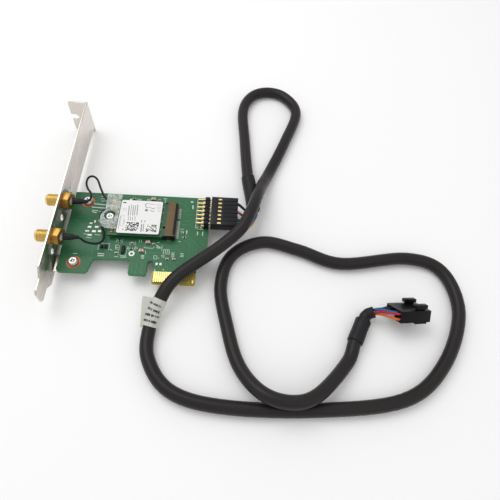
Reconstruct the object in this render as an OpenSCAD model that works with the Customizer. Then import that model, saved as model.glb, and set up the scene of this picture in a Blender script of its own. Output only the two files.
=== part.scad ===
// Wireless adapter card: a radio module in a socket on a small computer expansion board, with a
// full height slot bracket, two antenna jacks with their leads, and a sheathed cable.
// Lengths are in millimetres. X runs from the bracket to the header plug, Y from the edge contacts
// towards the folded top of the bracket, Z up from the surface that the card lies on.

/* [Bracket] */
// Length from the folded top to the tip of the tongue
bracket_h = 120; // [118:0.5:122]
// Width of the long strip
strip_w = 18.4; // [17.5:0.1:19.5]
// Thickness of the sheet steel
sheet_t = 0.9; // [0.7:0.1:1.1]
// Width of the folded top
head_w = 21.6; // [20.6:0.2:23]
// Reach of the folded top
flange_l = 11.4; // [10.5:0.2:13]
// Width of the tongue
tongue_w = 10.2; // [9:0.2:11]
// Length of the tongue below the shoulders
tongue_l = 7.6; // [6:0.2:9]
// Width of the open screw notch
notch_w = 3.8; // [3.6:0.1:4.2]
// Depth of the open screw notch
notch_l = 4.2; // [4:0.1:4.6]
// Length of the folded ears under the board
ear_l = 13; // [12.5:0.5:15]
// Width of the folded ears
ear_w = 9.4; // [8.5:0.2:9.8]

/* [Adapter board] */
// Thickness of the board
board_t = 1.6; // [1.4:0.1:1.7]
// Height of the board top above the lower edge of the strip
board_rise = 4.1; // [3.8:0.1:4.6]
// Gap between the bracket and the board
board_gap = 1.6; // [1.3:0.1:2]
// Right edge of the board
board_x2 = 74; // [73.5:0.25:74.25]
// Far edge of the board
board_y2 = 66; // [65.5:0.25:67]
// Lower edge between the foot and the contact tab
board_y1 = 25.4; // [24.9:0.1:25.9]
// Lower edge of the foot under the bracket screw
foot_y = 17.2; // [16.8:0.2:18]
// Left end of the contact tab
tab_x = 48.2; // [47.8:0.2:48.6]
// Lower edge of the contact tab
tab_y = 13; // [12.5:0.25:13.25]
// Distance between the contacts
contact_pitch = 1; // [0.95:0.01:1.05]
// Width of one contact
contact_w = 0.7; // [0.6:0.05:0.75]
// Length of one contact
contact_l = 5.6; // [5:0.2:6]
// Contacts before the key notch
contacts_a = 11; // [11:1:11]
// Contacts after the key notch
contacts_b = 7; // [7:1:7]
// Width of the key notch
key_w = 1.9; // [1.8:0.05:2]
// Thickness of the plating and of the soldered pads
plate_t = 0.1; // [0.08:0.02:0.12]

/* [Bracket screws] */
// Distance of the screws from the bracket
screw_x = 9.2; // [9:0.1:9.6]
// Height of the lower screw on the card
screw_y1 = 22.6; // [22.4:0.1:22.8]
// Height of the upper screw on the card
screw_y2 = 59.8; // [59.2:0.2:60.4]
// Radius of the screw shank
screw_r = 1.5; // [1.3:0.05:1.6]
// Radius of the screw head
screw_head_r = 2.6; // [2.4:0.05:2.8]
// Height of the screw head
screw_head_h = 1.8; // [1.5:0.1:2.1]
// Radius of the bare copper ring
ring_r = 3.4; // [3.1:0.1:3.6]

/* [Antenna jacks] */
// Distance of the lower jack from the tip of the tongue
jack_y1 = 32; // [31.5:0.25:32.5]
// Distance of the upper jack from the tip of the tongue
jack_y2 = 53.7; // [53.2:0.25:54.2]
// Height of the jacks above the board
jack_rise = 8.2; // [7.8:0.1:8.6]
// Radius of the threaded barrel
barrel_r = 3.1; // [3:0.05:3.2]
// Length of the barrel outside the bracket
barrel_l = 7.7; // [7.2:0.1:8.6]
// Radius of the socket in the barrel
barrel_bore_r = 2.3; // [2.2:0.05:2.4]
// Depth of the socket in the barrel
barrel_bore_l = 4.6; // [4:0.2:5]
// Distance across the flats of the jack hexagon
hex_af = 8; // [7.6:0.1:8.2]
// Length of the jack hexagon
hex_l = 3.8; // [3.4:0.1:4.2]
// Length of the plain neck between the thread and the hexagon
neck_l = 1.5; // [1.3:0.1:1.8]
// Radius of the insulator around the centre contact
insulator_r = 2; // [1.8:0.05:2.1]
// Radius of the centre contact
pin_r = 0.6; // [0.5:0.05:0.65]
// Radius of the crimped ferrule
ferrule_r = 1.25; // [1.15:0.05:1.3]
// Length of the crimped ferrule
ferrule_l = 4.5; // [4:0.25:5]
// Length of the sleeve over the lead end
lead_sleeve_l = 7.2; // [6.8:0.2:7.6]
// Wall of the sleeve over the lead end
lead_sleeve_t = 0.3; // [0.25:0.05:0.4]
// Radius of the antenna leads
lead_r = 0.6; // [0.5:0.05:0.65]

/* [Module] */
// Length of the radio module
module_l = 30; // [29.8:0.1:30.2]
// Width of the radio module
module_w = 22; // [21.8:0.1:22.2]
// Thickness of the module board
module_t = 0.8; // [0.7:0.05:0.9]
// Left edge of the module
module_x = 23.3; // [23.1:0.1:23.5]
// Centre line of the module
module_yc = 48.5; // [48.2:0.1:48.8]
// Height of the module above the adapter board
module_rise = 2.3; // [2:0.1:2.5]
// Distance of the shield from the left edge of the module
shield_x = 5; // [4.8:0.1:5.2]
// Length of the shield
shield_l = 20.8; // [20:0.2:21]
// Width of the shield
shield_w = 20; // [19:0.2:20.4]
// Height of the shield
shield_h = 1.3; // [1.1:0.1:1.5]
// Distance that the label overlaps the shield
label_over = 0.3; // [0.2:0.05:0.4]
// Radius of the nut that carries the module screw
standoff_r = 2.2; // [2.1:0.05:2.4]
// Radius of the module screw head
mod_head_r = 2.4; // [2.2:0.05:2.5]
// Height of the module screw head
mod_head_h = 1.1; // [0.9:0.1:1.3]
// Distance of the small parts by the socket from the end of the module
end_parts = 3.7; // [3.6:0.1:3.8]

/* [Module socket] */
// Length of the module that lies over or in the socket
module_in = 2.5; // [2.3:0.1:2.7]
// Depth of the socket body
socket_l = 6.4; // [6.2:0.2:6.8]
// Distance from the socket to the middle of the two resistors behind it
behind_socket = 4.8; // [4.6:0.1:5]
// Width of the socket body
socket_w = 21.4; // [21.2:0.1:21.8]
// Cut at both sides of the module's plugged end
tongue_cut = 1; // [0.9:0.05:1.1]
// Height of the socket body
socket_h = 4.2; // [4:0.1:4.4]
// Distance between the socket tails
tail_pitch = 0.5; // [0.48:0.01:0.52]

/* [Header and plug] */
// Distance between the header pins
pitch = 2.54; // [2.5:0.01:2.56]
// Columns of pins
columns = 7; // [7:1:7]
// Centre line of the header
header_yc = 54.6; // [54.4:0.1:54.8]
// Left face of the header strip
strip_x = 71.5; // [71.3:0.1:71.6]
// Thickness of the square pins
pin_t = 0.64; // [0.6:0.02:0.66]
// Length of the pins past the strip
pin_l = 6; // [5.6:0.1:6.4]
// Length of the plug housing
plug_l = 14; // [13.6:0.1:14.2]
// Gap between the strip and the plug
plug_gap = 0.9; // [0.8:0.05:1]
// Side of one square cavity
cavity_w = 1.9; // [1.8:0.05:2]
// Side of one crimped terminal
terminal_w = 1.7; // [1.6:0.05:1.75]

/* [Cable] */
// Radius of the cable sheath
cable_r = 3.2; // [3:0.05:3.25]
// Wall of the shrink sleeves on the cable ends
sleeve_t = 0.45; // [0.35:0.05:0.5]
// Radius of the insulated wires
wire_r = 0.55; // [0.45:0.05:0.6]
// Length of the wrapped part of the cable label
label_l = 11; // [9:0.5:12]

/* [End plug] */
// Length of the end housing
tail_l = 15.8; // [15.2:0.2:16.2]
// Width of the end housing
tail_w = 13.2; // [13:0.1:13.4]
// Thickness of the end housing
tail_h = 5.7; // [5.5:0.1:5.9]
// Angle that the end housing leans over
tail_roll = 46; // [44:1:48]
// Angle that the wire end of the end housing is lifted
tail_pitch_a = 9; // [7:1:11]
// Angle that the end housing is turned
tail_yaw = 9; // [7:1:11]

/* [Hidden] */
$fn = 32;
eps = 0.01;

// Heights that the pieces share
strip_z = head_w - strip_w;
board_z2 = strip_z + board_rise;
board_z = board_z2 - board_t;
jack_z = board_z2 + jack_rise;
jack_ys = [jack_y1, jack_y2];
screw_ys = [screw_y1, screw_y2];
module_z = board_z2 + module_rise;
module_z2 = module_z + module_t;
shield_z2 = module_z2 + shield_h;
label_t = 0.12;
slack = 0.02;
barrel_end = -(sheet_t + barrel_l);
socket_x = module_x + module_l - module_in;

// Header and plug places
row_z = [board_z2 + pitch / 2, board_z2 + 3 * pitch / 2];
column_y = [for (i = [0 : columns - 1]) header_yc + (i - (columns - 1) / 2) * pitch];
strip_x2 = strip_x + pitch;
pin_hole_x = [strip_x - 1.1, strip_x - 1.1 - pitch];
pin_x2 = strip_x2 + pin_l;
plug_x = strip_x2 + plug_gap;
plug_x2 = plug_x + plug_l;
plug_h = 2 * pitch;

// The origin is under the middle of the card, without the cable
origin_x = (pin_x2 - flange_l) / 2;
origin_y = bracket_h / 2;

// Contacts along the tab, counted from its left end
tab_len = (contacts_a + contacts_b) * contact_pitch + key_w + 2 * 0.65;
key_x = tab_x + 0.65 + contacts_a * contact_pitch;
contact_x = concat(
    [for (i = [0 : contacts_a - 1]) tab_x + 0.65 + (i + 0.5) * contact_pitch],
    [for (i = [0 : contacts_b - 1]) key_x + key_w + (i + 0.5) * contact_pitch]);

// Route of the cable, from the sleeve by the header to the sleeve at the end plug
ROUTE = [
    [97, 68, 3.8], [94, 86, 3.8], [91.5, 116, 3.3], [90, 141, 3.3], [95.5, 155, 3.3], [106, 160, 3.3],
    [117, 156, 3.3], [124, 141.5, 3.3], [116, 115, 3.3], [106.5, 90, 3.6], [102, 77, 7.8],
    [99, 65, 12.8], [96, 54, 14.8], [91, 43, 14.2], [81, 33, 11.8], [61, 15, 11.4], [54, 4, 8.6],
    [50, -8, 3.8], [51, -23, 3.3], [62, -37, 3.3], [84, -43, 3.3], [124, -43.5, 3.3], [166, -38, 3.3],
    [188, -21, 3.3], [201, 6, 3.3], [197, 29, 3.3], [179, 36, 3.3], [144, 31, 3.3], [122, 38, 3.3],
    [103, 42, 3.3], [87, 33, 3.3], [82, 15, 3.3], [86, -6, 3.3], [92, -25, 4.6], [102, -38, 9.3],
    [115, -42, 10], [127, -38, 9], [142, -22, 3.8], [146.5, -12, 3.8], [151.5, -1.5, 3.8]];
near_mouth = [98, 62, 3.8];
label_at = 16;

module box(low, high) translate(low) cube(high - low);

// A tube of round rings along a list of points that lie about level
function unit(v) = v / norm(v);
function tangent(p, i) = unit(p[min(i + 1, len(p) - 1)] - p[max(i - 1, 0)]);
function ring_point(p, i, r, a) =
    let (t = tangent(p, i), s = unit(cross(t, [0, 0, 1])), u = cross(s, t))
    p[i] + r * (cos(a) * s + sin(a) * u);
module sweep(p, r, sides) {
    n = len(p);
    points = [for (i = [0 : n - 1], k = [0 : sides - 1]) ring_point(p, i, r, 360 * k / sides)];
    walls = [for (i = [0 : n - 2], k = [0 : sides - 1])
        let (k2 = (k + 1) % sides)
        [i * sides + k, i * sides + k2, (i + 1) * sides + k2, (i + 1) * sides + k]];
    caps = [[for (k = [sides - 1 : -1 : 0]) k], [for (k = [0 : sides - 1]) (n - 1) * sides + k]];
    polyhedron(points, concat(walls, caps), convexity = 10);
}

// A smooth curve through the points, with n steps in each span
function spline_point(a, b, c, d, t) =
    0.5 * (2 * b + (c - a) * t + (2 * a - 5 * b + 4 * c - d) * t * t
    + (3 * b - a - 3 * c + d) * t * t * t);
function spline(p, n) = let (m = len(p) - 1) concat(
    [for (i = [0 : m - 1], k = [0 : n - 1])
        spline_point(p[max(i - 1, 0)], p[i], p[i + 1], p[min(i + 2, m)], k / n)], [p[m]]);
function bezier(a, b, c, d, n) = [for (k = [0 : n]) let (t = k / n, s = 1 - t)
    s * s * s * a + 3 * s * s * t * b + 3 * s * t * t * c + t * t * t * d];

// Places its children along a line from a to b, with Z along the line
module along(a, b) {
    v = b - a;
    translate(a) rotate([0, acos(v[2] / norm(v)), atan2(v[1], v[0])]) children();
}

module hexagon(af, h) cylinder(r = af / 2 / cos(30), h = h, $fn = 6);

// Sheet steel: a strip with 45 degree shoulders and a tongue, a folded top and two folded ears
module bracket() {
    mid_z = strip_z + strip_w / 2;
    shoulder = (strip_w - tongue_w) / 2;
    tip = 1.6;
    color("silver") difference() {
        union() {
            translate([-sheet_t, 0, 0]) rotate([90, 0, 90]) linear_extrude(sheet_t)
                polygon([[tip, mid_z - tongue_w / 2], [tongue_l, mid_z - tongue_w / 2],
                    [tongue_l + shoulder, strip_z], [bracket_h, strip_z],
                    [bracket_h, strip_z + strip_w], [tongue_l + shoulder, strip_z + strip_w],
                    [tongue_l, mid_z + tongue_w / 2], [tip, mid_z + tongue_w / 2],
                    [0, mid_z + tongue_w / 2 - tip], [0, mid_z - tongue_w / 2 + tip]]);
            translate([0, bracket_h, 0]) rotate([90, 0, 0]) linear_extrude(sheet_t) polygon([[0, 0],
                [0, head_w], [1.5 - flange_l, head_w], [0.4 - flange_l, head_w - 0.4],
                [-flange_l, head_w - 1.5], [-flange_l, 1.5], [0.4 - flange_l, 0.4], [1.5 - flange_l, 0]]);
            for (y = screw_ys) {
                ear_y = max(y - ear_w / 2, tongue_l + shoulder);
                box([-eps, ear_y, board_z - sheet_t], [ear_l, y + ear_w / 2, board_z]);
            }
        }
        translate([-flange_l - 1, bracket_h - sheet_t - 1, head_w / 2 - notch_w / 2])
            cube([1 + notch_l - notch_w / 2, sheet_t + 2, notch_w]);
        translate([-flange_l + notch_l - notch_w / 2, bracket_h + 1, head_w / 2])
            rotate([90, 0, 0]) cylinder(d = notch_w, h = sheet_t + 2);
        for (y = screw_ys) translate([screw_x, y, board_z - sheet_t - 1])
            cylinder(r = screw_r + slack, h = sheet_t + 2);
        for (y = jack_ys) translate([-sheet_t - 1, y, jack_z]) rotate([0, 90, 0])
            cylinder(r = barrel_r + 0.1, h = sheet_t + 2);
        for (h = [[(jack_y1 + jack_y2) / 2 + 2.4, 3.6], [25.1, 3.2], [64.3, 1.6]])
            translate([-sheet_t - 1, h[0], mid_z]) rotate([0, 90, 0])
                cylinder(d = h[1], h = sheet_t + 2);
    }
}

// Pan head screws with a cross recess, down through the board into the ears
module pan_screw(r, head_r, head_h, shank) {
    recess = head_r * 0.42;
    difference() {
        union() {
            cylinder(r = head_r, h = head_h * 0.55);
            translate([0, 0, head_h * 0.55]) cylinder(r1 = head_r, r2 = head_r * 0.72, h = head_h * 0.45);
            translate([0, 0, -shank]) cylinder(r = r, h = shank + eps);
        }
        for (a = [0, 90]) rotate([0, 0, a + 20])
            translate([-recess, -recess * 0.28, head_h * 0.45]) cube([2 * recess, recess * 0.56, head_h]);
    }
}
module bracket_screws() color("gainsboro") for (y = screw_ys)
    translate([screw_x, y, board_z2 + plate_t])
        pan_screw(screw_r, screw_head_r, screw_head_h, board_t + plate_t + sheet_t + 0.6);

// The green board with its foot, its contact tab and all the drilled holes
module adapter_board() {
    foot_x = ear_l + 3.6;
    stub_x = 36.3;
    stub_x2 = tab_x - 3.2;
    stub_y = foot_y - 0.1;
    round_r = 1.2;
    stub_r = 1;
    slant = 1.2;
    color("seagreen") difference() {
        translate([0, 0, board_z]) linear_extrude(board_t) difference() {
            polygon(concat(
                [[board_gap, board_y2], [board_gap, foot_y + round_r], [board_gap + round_r, foot_y],
                    [foot_x - round_r, foot_y], [foot_x, foot_y + round_r],
                    [foot_x + slant, board_y1 - round_r], [foot_x + slant + round_r, board_y1],
                    [stub_x, board_y1]],
                [for (a = [180 : 30 : 270])
                    [stub_x + stub_r + stub_r * cos(a), stub_y + stub_r + stub_r * sin(a)]],
                [for (a = [270 : 30 : 360])
                    [stub_x2 - stub_r + stub_r * cos(a), stub_y + stub_r + stub_r * sin(a)]],
                [[stub_x2, board_y1 - 1.2]],
                [for (a = [180 : -30 : 0]) [(stub_x2 + tab_x) / 2 + (tab_x - stub_x2) / 2 * cos(a),
                    board_y1 - 1.2 + 1.2 * sin(a)]],
                [[tab_x, tab_y + 0.6], [tab_x + 0.6, tab_y], [tab_x + tab_len - 0.6, tab_y],
                    [tab_x + tab_len, tab_y + 0.6], [tab_x + tab_len, board_y1],
                    [board_x2 - round_r, board_y1], [board_x2, board_y1 + round_r],
                    [board_x2, board_y2]]));
            translate([key_x, tab_y - 1]) square([key_w, contact_l + 2.1]);
            translate([key_x + key_w / 2, tab_y + contact_l + 1.1]) circle(d = key_w);
            for (y = screw_ys) translate([screw_x, y]) circle(r = screw_r + 0.1);
            for (x = pin_hole_x, y = column_y) translate([x, y]) circle(r = pin_t * 0.75);
            translate([module_x, module_yc]) circle(r = standoff_r * 0.6 + slack);
        }
        // The lower edge of the tab is bevelled on both faces
        for (s = [0, 1]) translate([tab_x - 1, tab_y, s ? board_z2 : board_z]) rotate([s ? 20 : 70, 0, 0])
            translate([0, -1.5, -1.5 * s]) cube([tab_len + 2, s ? 3 : 1.5, 1.5]);
    }
}

// Gold plated contacts on both faces of the tab; the second last is a short one
module edge_contacts() {
    color("gold") for (i = [0 : len(contact_x) - 1], top = [0, 1]) {
        short = i == len(contact_x) - 2 ? 1.6 : 0;
        translate([contact_x[i] - contact_w / 2, tab_y + 0.75 + short,
            top ? board_z2 : board_z - plate_t])
            cube([contact_w, contact_l - short, plate_t]);
    }
}

// Bare copper rings under the two bracket screws
module copper_rings() color("peru") for (y = screw_ys)
    translate([screw_x, y, board_z2]) difference() {
        cylinder(r = ring_r, h = plate_t);
        translate([0, 0, -1]) cylinder(r = screw_r + 0.1, h = plate_t + 2);
    }

// Tinned test pads and the spare pads of unfitted parts
module board_pads() {
    pads = [[12.4, 45.6, 1.6, 0.9], [14.6, 46.6, 0.9, 1.4], [12, 43.2, 1.8, 1.1], [15.6, 43.4, 1.8, 1.1],
        [18, 44.4, 1, 1.4], [11.2, 40.8, 2, 0.8], [14.6, 40.6, 2, 1.2], [17.6, 40.8, 1.6, 1.2],
        [12.8, 38.4, 2.2, 0.9], [16.8, 47.4, 0.9, 0.9], [49.2, 23, 1.1, 1.3],
        [51.1, 23, 1.1, 1.3], [30.6, 61.6, 1.4, 1.4]];
    color("gainsboro") for (p = pads) translate([p[0], p[1], board_z2]) cube([p[2], p[3], plate_t]);
    color("gainsboro") translate([36.6, 28.9, board_z2]) difference() {
        cylinder(r = 1.5, h = plate_t);
        translate([0, 0, -1]) cylinder(r = 0.7, h = plate_t + 2);
    }
}

// Antenna jacks: a threaded barrel outside the bracket and a hexagon against its inner face
module jack_body(y) {
    color("goldenrod") translate([0, y, jack_z]) rotate([0, 90, 0]) difference() {
        union() {
            translate([0, 0, barrel_end]) cylinder(r1 = barrel_r - 0.6, r2 = barrel_r, h = 0.7);
            translate([0, 0, barrel_end + 0.7]) cylinder(r = barrel_r, h = -barrel_end - 0.7 - neck_l);
            translate([0, 0, -neck_l - eps]) cylinder(r = barrel_r - 0.3, h = neck_l + 2 * eps);
            rotate([0, 0, 10]) hexagon(hex_af, hex_l);
        }
        translate([0, 0, barrel_end - 1]) cylinder(r = barrel_bore_r, h = barrel_bore_l + 1);
        translate([0, 0, barrel_end]) cylinder(r = insulator_r + slack, h = -barrel_end + hex_l + 1);
    }
}
module upper_jack_body() jack_body(jack_y2);
module lower_jack_body() jack_body(jack_y1);
module jack_insulators() color("white") for (y = jack_ys)
    translate([barrel_end + barrel_bore_l, y, jack_z]) rotate([0, 90, 0]) difference() {
        cylinder(r = insulator_r, h = -barrel_end - barrel_bore_l + hex_l - 0.2);
        translate([0, 0, -1]) cylinder(r = pin_r + slack, h = 30);
    }
module jack_contacts() color("gold") for (y = jack_ys)
    translate([barrel_end + 1, y, jack_z]) rotate([0, 90, 0]) {
        cylinder(r1 = pin_r * 0.5, r2 = pin_r, h = 0.5);
        translate([0, 0, 0.5]) cylinder(r = pin_r, h = -barrel_end + hex_l - 2);
    }
module lead_ferrules() color("silver") for (y = jack_ys)
    translate([hex_l, y, jack_z]) rotate([0, 90, 0]) difference() {
        cylinder(r = ferrule_r, h = ferrule_l);
        translate([0, 0, ferrule_l - 2]) cylinder(r = lead_r + 0.05, h = 3);
    }

// Shrink sleeve over the ferrule, tapering down to the lead
lead_sleeve_x = hex_l + 0.7;
lead_start_x = hex_l + ferrule_l - 1.9;
module lead_sleeves() color("black") for (y = jack_ys)
    translate([lead_sleeve_x, y, jack_z]) rotate([0, 90, 0]) {
        straight = ferrule_l - (lead_sleeve_x - hex_l) + 0.2;
        inner = ferrule_r + slack;
        outer = inner + lead_sleeve_t;
        rotate_extrude() polygon([[inner, 0], [outer, 0], [outer, straight],
            [lead_r + lead_sleeve_t + 0.1, lead_sleeve_l], [lead_r + 0.06, lead_sleeve_l],
            [lead_r + 0.06, straight + 1], [inner, straight]]);
    }

// Thin leads, each from its jack to a snap plug on the module
plug_centre_x = module_x + 1.9;
plug_centre_y = [module_yc + 4.7, module_yc + 9.2];
lead_z = module_z2 + 1;
module upper_antenna_lead() {
    y = jack_y2;
    z = jack_z;
    color("black") sweep(spline([[lead_start_x, y, z], [lead_start_x + 3, y, z],
        [lead_start_x + 5.2, y + 0.2, z], [13, y + 2, z], [12.4, y + 5.6, z], [10, y + 9, z - 0.3],
        [8.6, y + 13, z - 0.5], [9, y + 16.6, z - 0.8], [11, y + 18, z - 1.4],
        [13.6, y + 16, z - 2], [16, y + 11, z - 3], [19, plug_centre_y[1] + 2, lead_z + 0.3],
        [plug_centre_x - 3.6, plug_centre_y[1] + 1, lead_z],
        [plug_centre_x - 2.15, plug_centre_y[1] + 0.54, lead_z]], 3), lead_r, 8);
}
module lower_antenna_lead() {
    y = jack_y1;
    z = jack_z;
    color("black") sweep(spline([[lead_start_x, y, z], [lead_start_x + 3, y, z],
        [lead_start_x + 6, y - 0.3, z - 0.2], [15, y - 1.4, z - 1.6], [19.6, y - 1, z - 3.6],
        [22, y + 2, board_z2 + 3], [21.4, y + 7, board_z2 + 2.6], [18.8, y + 13, board_z2 + 2.8],
        [18.2, y + 17.6, board_z2 + 3.2], [19.4, plug_centre_y[0] - 1.4, lead_z - 0.3],
        [plug_centre_x - 3.6, plug_centre_y[0] + 0.05, lead_z],
        [plug_centre_x - 2.2, plug_centre_y[0] + 0.08, lead_z]], 3), lead_r, 8);
}
module lead_plugs() color("wheat") for (i = [0, 1])
    translate([plug_centre_x, plug_centre_y[i], module_z2 + 0.45]) difference() {
        union() {
            cylinder(r = 1.3, h = 1.25);
            rotate([0, 0, i ? 166 : 178]) translate([0, -0.75, 0.1]) cube([2.2, 1.5, 1]);
        }
        translate([0, 0, -1]) cylinder(r = 0.92, h = 1.5);
    }
module module_jacks() color("gold") for (i = [0, 1])
    translate([plug_centre_x, plug_centre_y[i], module_z2]) {
        translate([-1.3, -1.3, 0]) cube([2.6, 2.6, 0.4]);
        translate([0, 0, 0.4]) cylinder(r = 0.9, h = 0.5);
    }

// The radio module: its board, a shield can with a label, and small parts beside it
module module_board() {
    y = module_yc - module_w / 2;
    color("green") difference() {
        translate([module_x, y, module_z]) cube([module_l, module_w, module_t]);
        translate([module_x, module_yc, module_z - 1]) cylinder(r = 1.75, h = module_t + 2);
        translate([module_x + module_l - 2.6, y + 5.4, module_z - 1]) cube([3, 1.2, module_t + 2]);
        for (cy = [y - 1, y + module_w - tongue_cut])
            translate([socket_x, cy, module_z - 1]) cube([5, tongue_cut + 1, module_t + 2]);
    }
}
module module_shield() color("silver")
    translate([module_x + shield_x, module_yc - shield_w / 2, module_z2]) difference() {
        cube([shield_l, shield_w, shield_h]);
        translate([0.2, 0.2, -1]) cube([shield_l - 0.4, shield_w - 0.4, shield_h + 0.8]);
    }
module module_label() {
    r = 1;
    l = shield_l + 2 * label_over;
    w = shield_w + 2 * label_over;
    color("white") translate([module_x + shield_x - label_over, module_yc - w / 2, shield_z2])
        linear_extrude(label_t) difference() {
            square([l, w]);
            for (c = [[0, 0, 0], [l, 0, 90], [l, w, 180], [0, w, 270]])
                translate([c[0], c[1]]) rotate(c[2]) difference() {
                    translate([-1, -1]) square(r + 1);
                    translate([r, r]) circle(r);
                }
        }
}
module module_parts() color("tan") for (p = [[1.4, 1.6, 1.2, 0.6], [1.4, 3, 1.2, 0.6],
    [1.2, 5, 0.6, 1.2], [2.6, 5, 0.6, 1.2], [3.6, 2, 0.6, 1.2], [2.8, 7.2, 1.2, 0.6],
    [3.4, 13.6, 0.6, 1.2], for (y = [4, 9, 14.5, 18]) [module_l - end_parts, y, 0.5, 1]])
    translate([module_x + p[0], module_yc - module_w / 2 + p[1], module_z2])
        cube([p[2], p[3], 0.4]);
module module_standoff() color("khaki") translate([module_x, module_yc, board_z]) difference() {
    union() {
        translate([0, 0, board_t]) cylinder(r = standoff_r, h = module_rise);
        cylinder(r = standoff_r * 0.6, h = board_t + eps);
    }
    translate([0, 0, board_t - 0.6]) cylinder(r = 1.02, h = module_rise + 1);
}
module module_screw() color("white") translate([module_x, module_yc, module_z2])
    pan_screw(1, mod_head_r, mod_head_h, module_t + 1.6);

// Clear film laid over the plugs, with a round opening for the screw
module clear_film() {
    right = module_x + shield_x - label_over - 0.2;
    left = module_x - 4.6;
    low = module_yc - 8.2;
    z = module_z2 + 0.45 + 1.25;
    color("lightcyan", 0.4) translate([0, 0, z]) linear_extrude(label_t) difference() {
        polygon([[right, low], [left + 5, low], [left + 2.6, low + 0.6], [left + 0.9, low + 2],
            [left + 0.1, low + 4.2], [left, low + 7.7], [left + 0.7, low + 9.9], [left + 1.9, low + 11.2],
            [left + 1.3, board_y2 - 4.4], [left + 1.8, board_y2 - 4], [right, board_y2 - 4]]);
        translate([module_x, module_yc]) circle(r = mod_head_r + 0.5);
    }
}

// The socket that the module plugs into, with its slot, contacts and soldered tails
slot_gap = 0.1;
module module_socket() color("saddlebrown") difference() {
    union() {
        translate([socket_x, module_yc - socket_w / 2, board_z2]) cube([socket_l, socket_w, module_rise]);
        translate([socket_x + 1.4, module_yc - socket_w / 2, board_z2])
            cube([socket_l - 1.4, socket_w, socket_h]);
        for (s = [0, 1])
            translate([socket_x + slack, module_yc - socket_w / 2 + s * (socket_w - 0.5), board_z2])
                cube([socket_l / 2, 0.5, module_rise + module_t + 0.3]);
    }
    translate([socket_x - 1, module_yc - module_w / 2 + tongue_cut - slot_gap, module_z - slot_gap])
        cube([module_x + module_l - socket_x + 1 + slot_gap, module_w - 2 * tongue_cut + 2 * slot_gap,
            module_t + 2 * slot_gap]);
    translate([socket_x - 1, module_yc - socket_w / 2 + 1.2, board_z2 - 1])
        cube([socket_l - 1.4, socket_w - 2.4, 1.6]);
    translate([socket_x + socket_l - 0.9, module_yc - socket_w / 2 + 0.8, board_z2 + socket_h - 0.5])
        cube([2, socket_w - 1.6, 1]);
}
module socket_contacts() {
    count = floor((socket_w - 2.5) / tail_pitch);
    color("gainsboro") for (i = [0 : count]) if (i < 22 || i > 24)
        translate([0, module_yc + (i - count / 2) * tail_pitch - 0.1, board_z2])
            translate([socket_x + socket_l, 0, 0]) {
                cube([1.7, 0.2, 0.15]);
                cube([0.15, 0.2, 1.2]);
            }
    color("gainsboro") for (s = [-1, 1])
        translate([socket_x + 2.2, module_yc + s * (socket_w / 2 + 0.5) - 0.5, board_z2])
            cube([2, 1, 0.3]);
}

// The right angle header: a strip of chamfered cells and square pins bent down into the board
module header_strip() {
    c = 0.5;
    y = header_yc - columns * pitch / 2;
    color("black") difference() {
        translate([strip_x, 0, board_z2]) rotate([90, 0, 90]) linear_extrude(pitch) polygon(concat(
            [for (i = [0 : columns - 1], p = [[0, c], [c, 0], [pitch - c, 0], [pitch, c]])
                [y + i * pitch + p[0], p[1]]],
            [for (i = [columns - 1 : -1 : 0], p = [[pitch, -c], [pitch - c, 0], [c, 0], [0, -c]])
                [y + i * pitch + p[0], plug_h + p[1]]]));
        for (cy = column_y, z = row_z) translate([strip_x - 1, cy - pin_t / 2 - slack, z - pin_t / 2 - slack])
            cube([pitch + 2, pin_t + 2 * slack, pin_t + 2 * slack]);
    }
}
module header_pins() color("gold") for (cy = column_y, i = [0, 1]) {
    translate([pin_hole_x[i] - pin_t / 2, cy - pin_t / 2, row_z[i] - pin_t / 2])
        cube([pin_x2 - pin_hole_x[i] + pin_t / 2, pin_t, pin_t]);
    translate([pin_hole_x[i] - pin_t / 2, cy - pin_t / 2, board_z - 1])
        cube([pin_t, pin_t, row_z[i] - board_z + 1]);
}

// Small soldered parts on the adapter board
module chip_part(at, l, w, h, cap) {
    translate([at[0] - l / 2, at[1] - w / 2, board_z2]) {
        cube([cap, w, h]);
        translate([cap, 0.03, 0.03]) cube([l - 2 * cap, w - 0.06, h - 0.06]);
        translate([l - cap, 0, 0]) cube([cap, w, h]);
    }
}
module large_capacitors() color("rosybrown") for (p = [[43.4, 63.3], [44, 35.8], [41.3, 30.6]])
    chip_part(p, 2, 1.6, 1.3, 0.4);
module small_capacitors() color("rosybrown")
    for (p = [[46.5, 63], [47, 35.1], [36.2, 35.1], [29.1, 28.9], [54.6, 26.7], [58, 26.7]])
        chip_part(p, 1.2, 0.8, 0.8, 0.25);
module resistors() color("dimgray") for (p = [[29.5, 36.4], [36, 31.9], [33, 63.4],
    for (y = [43, 40]) [socket_x + socket_l + behind_socket, y]])
    chip_part(p, 1.2, 0.8, 0.45, 0.25);
module transistors() color("black") {
    translate([31.4, 28.6, board_z2]) cube([1.6, 4.2, 1.3]);
    for (x = [20.6, 22.8]) translate([x, 31.2, board_z2]) cube([1.3, 1.8, 0.9]);
}

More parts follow.
